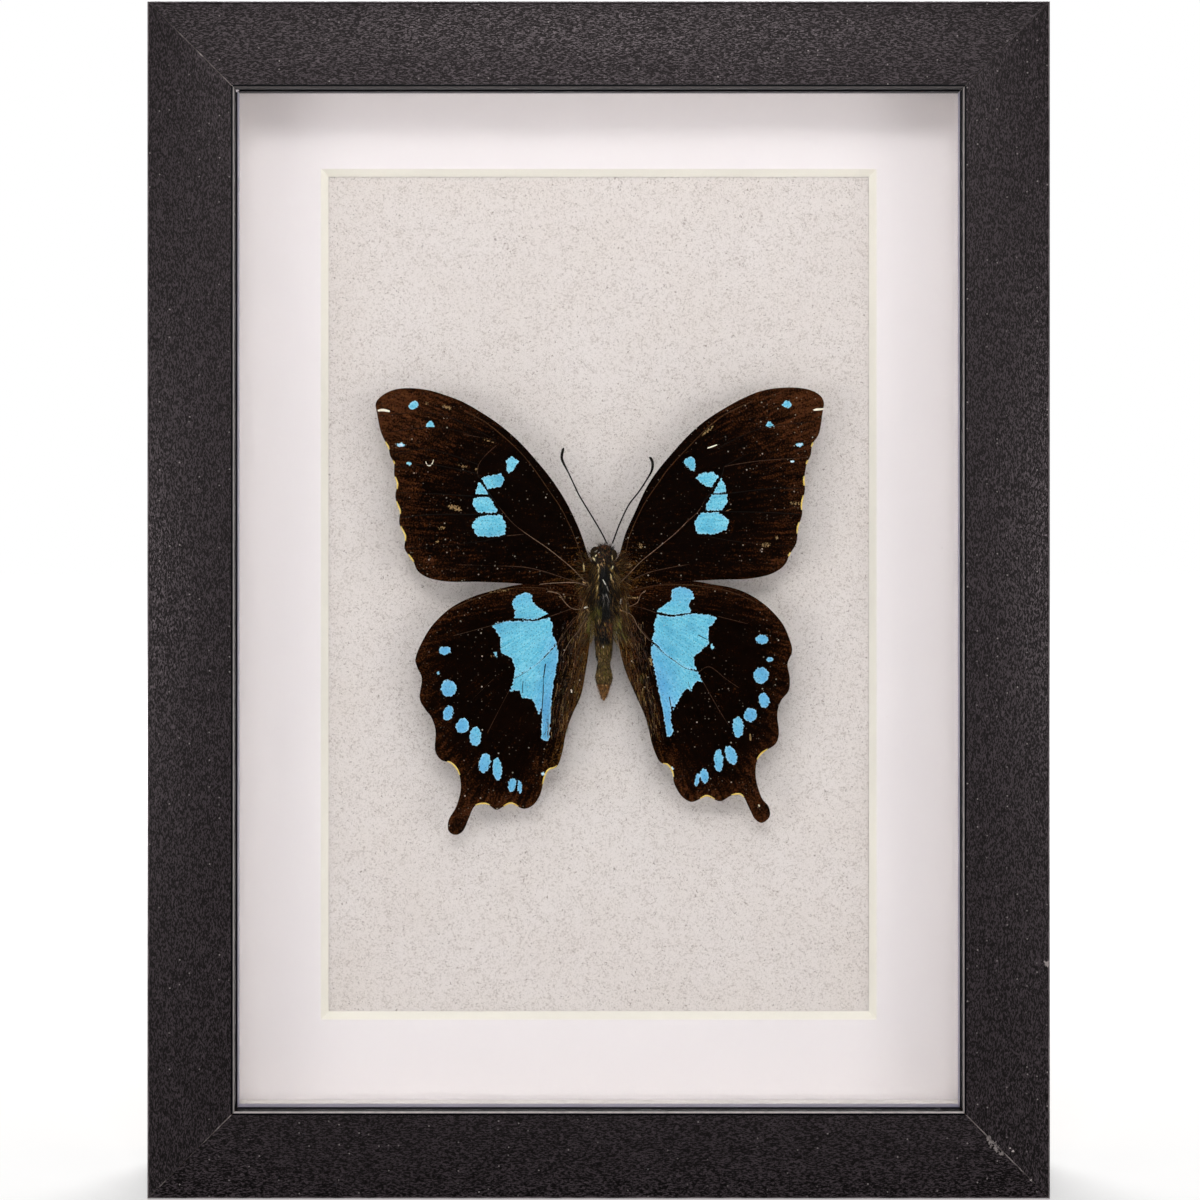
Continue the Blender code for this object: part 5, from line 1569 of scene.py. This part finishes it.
def makeLeg(pair, side, word):
    # thigh, shin and foot folded back under the thorax, with short spines down the shin
    number = leg["pairs"].index(pair)
    joints = np.array(leg["joints"]) + number * np.array(leg["drift"])
    hip = leg["hip"] + leg["hipStep"] * number
    route = curveThrough(joints * (side, 1, 1) + (0, hip, 0), 14)
    steps = lengthsAlong(route)
    along = steps / steps[-1]
    ringed = (np.arange(len(route)) % 3 == 0) * (along > 0.66)
    radii = np.interp(along, *zip(*leg["radii"])) * (1 - 0.12 * ringed)
    obj = tube("leg%s_%s" % (pair.capitalize(), word), route, radii, legCuticle, 2)
    smooth(obj, 60)
    shares = chance.uniform(0.4, 1.0, leg["spines"])
    spots = np.column_stack([np.interp(shares, along, route[:, i]) for i in range(3)])
    lean = chance.normal(0, 1, (leg["spines"], 3)) + (0, 0, -0.8)
    colours = np.tile(fromHex(coats["brown"]), (leg["spines"], 1))
    spines = growHair("legSpines", toWorld(*spots.T), lean, lean + (0, 0, -1),
                      chance.uniform(0.25, 0.5, leg["spines"]), hair["root"] * 0.7, colours)
    joinTo(obj, [spines])
    settle(obj, "insect_limb", "leg_%s_%s" % (pair, word))


for pair in leg["pairs"]:
    makeLeg(pair, -1, "left")
    makeLeg(pair, 1, "right")
print("antennae and legs")

# the floor glows: a painted glow that also lights the frame from below
stage = {"floor": 3.0, "floorTone": "f4f3f2", "floorGlow": 0.4}


def sweepPaper():
    # smooth white photographer's paper
    made, add, shader, inMm = newMaterial("whiteSweepPaper")
    tooth = add("TexNoise", {"Vector": inMm, "Scale": 1 / 2.5})
    colour = add("Mix", {0: tooth, 6: "efeeed", 7: stage["floorTone"]}, **blend)
    # a painted glow: where the camera sees it, it glows brighter further out, so that it meets the
    # white room with no line; to everything else it glows evenly and lights the frame from below
    far = add("VectorMath", {0: inMm}, operation="LENGTH")
    glow = add("MapRange", {0: far, 1: 80, 2: 700, 3: 0.35, 4: 1.0}, **soft)
    ray = add("LightPath").outputs
    strength = add("Mix", {0: ray["Is Camera Ray"], 2: stage["floorGlow"], 3: glow})
    feed(shader, {"Base Color": colour, "Roughness": 0.9, "Emission Color": "ffffff",
                  "Emission Strength": strength})
    # it lights the object, but the glass and the foil don't mirror it
    scattered = add("Math", {0: ray["Diffuse Depth"], 1: 0.5}, operation="GREATER_THAN")
    kept = add("Math", {0: scattered, 1: ray["Is Camera Ray"]}, operation="MAXIMUM")
    seen = add("MixShader", {0: kept, 2: shader})
    feed(made.node_tree.nodes["Material Output"], {"Surface": seen})
    return made


bpy.ops.mesh.primitive_plane_add(size=2 * stage["floor"], location=(0, 0, cadLow.z))
floor = bpy.context.object
floor.name = "stageFloor"
floor.data.materials.append(sweepPaper())

camera = {"right": 0.23, "up": 124.15, "reach": 500.0, "lens": 88.0, "shift": -0.1076}
bpy.ops.object.camera_add(
    location=at(camera["right"], camera["up"], -camera["reach"]), rotation=(math.radians(90), 0, 0))
viewer = bpy.context.object
viewer.data.lens = camera["lens"]
viewer.data.sensor_width = 36.0
viewer.data.shift_y = camera["shift"]
viewer.data.clip_start = 0.05
bpy.context.scene.camera = viewer

# lamps: place in millimetres, size, watts, and what they aim at
lamps = {
    "mainLamp": {"place": (0, 394, -690), "size": (260, 124), "watts": 1.54, "aim": (0, 100, 10)},
    "fillLeft": {"place": (-340, 90, -480), "size": (230, 110), "watts": 0.58, "aim": (0, 100, 10)},
    "fillRight": {"place": (340, 90, -480), "size": (230, 110), "watts": 0.58, "aim": (0, 100, 10)},
    "backLamp": {"place": (0, 900, 900), "size": (900, 600), "watts": 14.0, "aim": (0, 0, 500)},
}
for name, lamp in lamps.items():
    bpy.ops.object.light_add(type="AREA", location=at(*lamp["place"]))
    light = bpy.context.object
    light.name = name
    light.data.shape = "RECTANGLE"
    light.data.size, light.data.size_y = lamp["size"][0] * mm, lamp["size"][1] * mm
    light.data.energy = lamp["watts"]
    light.rotation_euler = (at(*lamp["aim"]) - light.location).to_track_quat("-Z", "Y").to_euler()

# a pale room: white where the camera sees it, dim where it would only be mirrored in the glass
world = bpy.data.worlds.new("paleRoom")
world.use_nodes = True
bpy.context.scene.world = world
add = partial(addNode, world.node_tree)
seen = add("LightPath").outputs["Is Camera Ray"]
dim = world.node_tree.nodes["Background"]
feed(dim, {"Color": "0a0a0a"})
white = add("Background", {"Color": "ffffff", "Strength": 1.0})
feed(world.node_tree.nodes["World Output"],
     {"Surface": add("MixShader", {0: seen, 1: dim, 2: white})})
bpy.context.scene.view_settings.view_transform = "Standard"
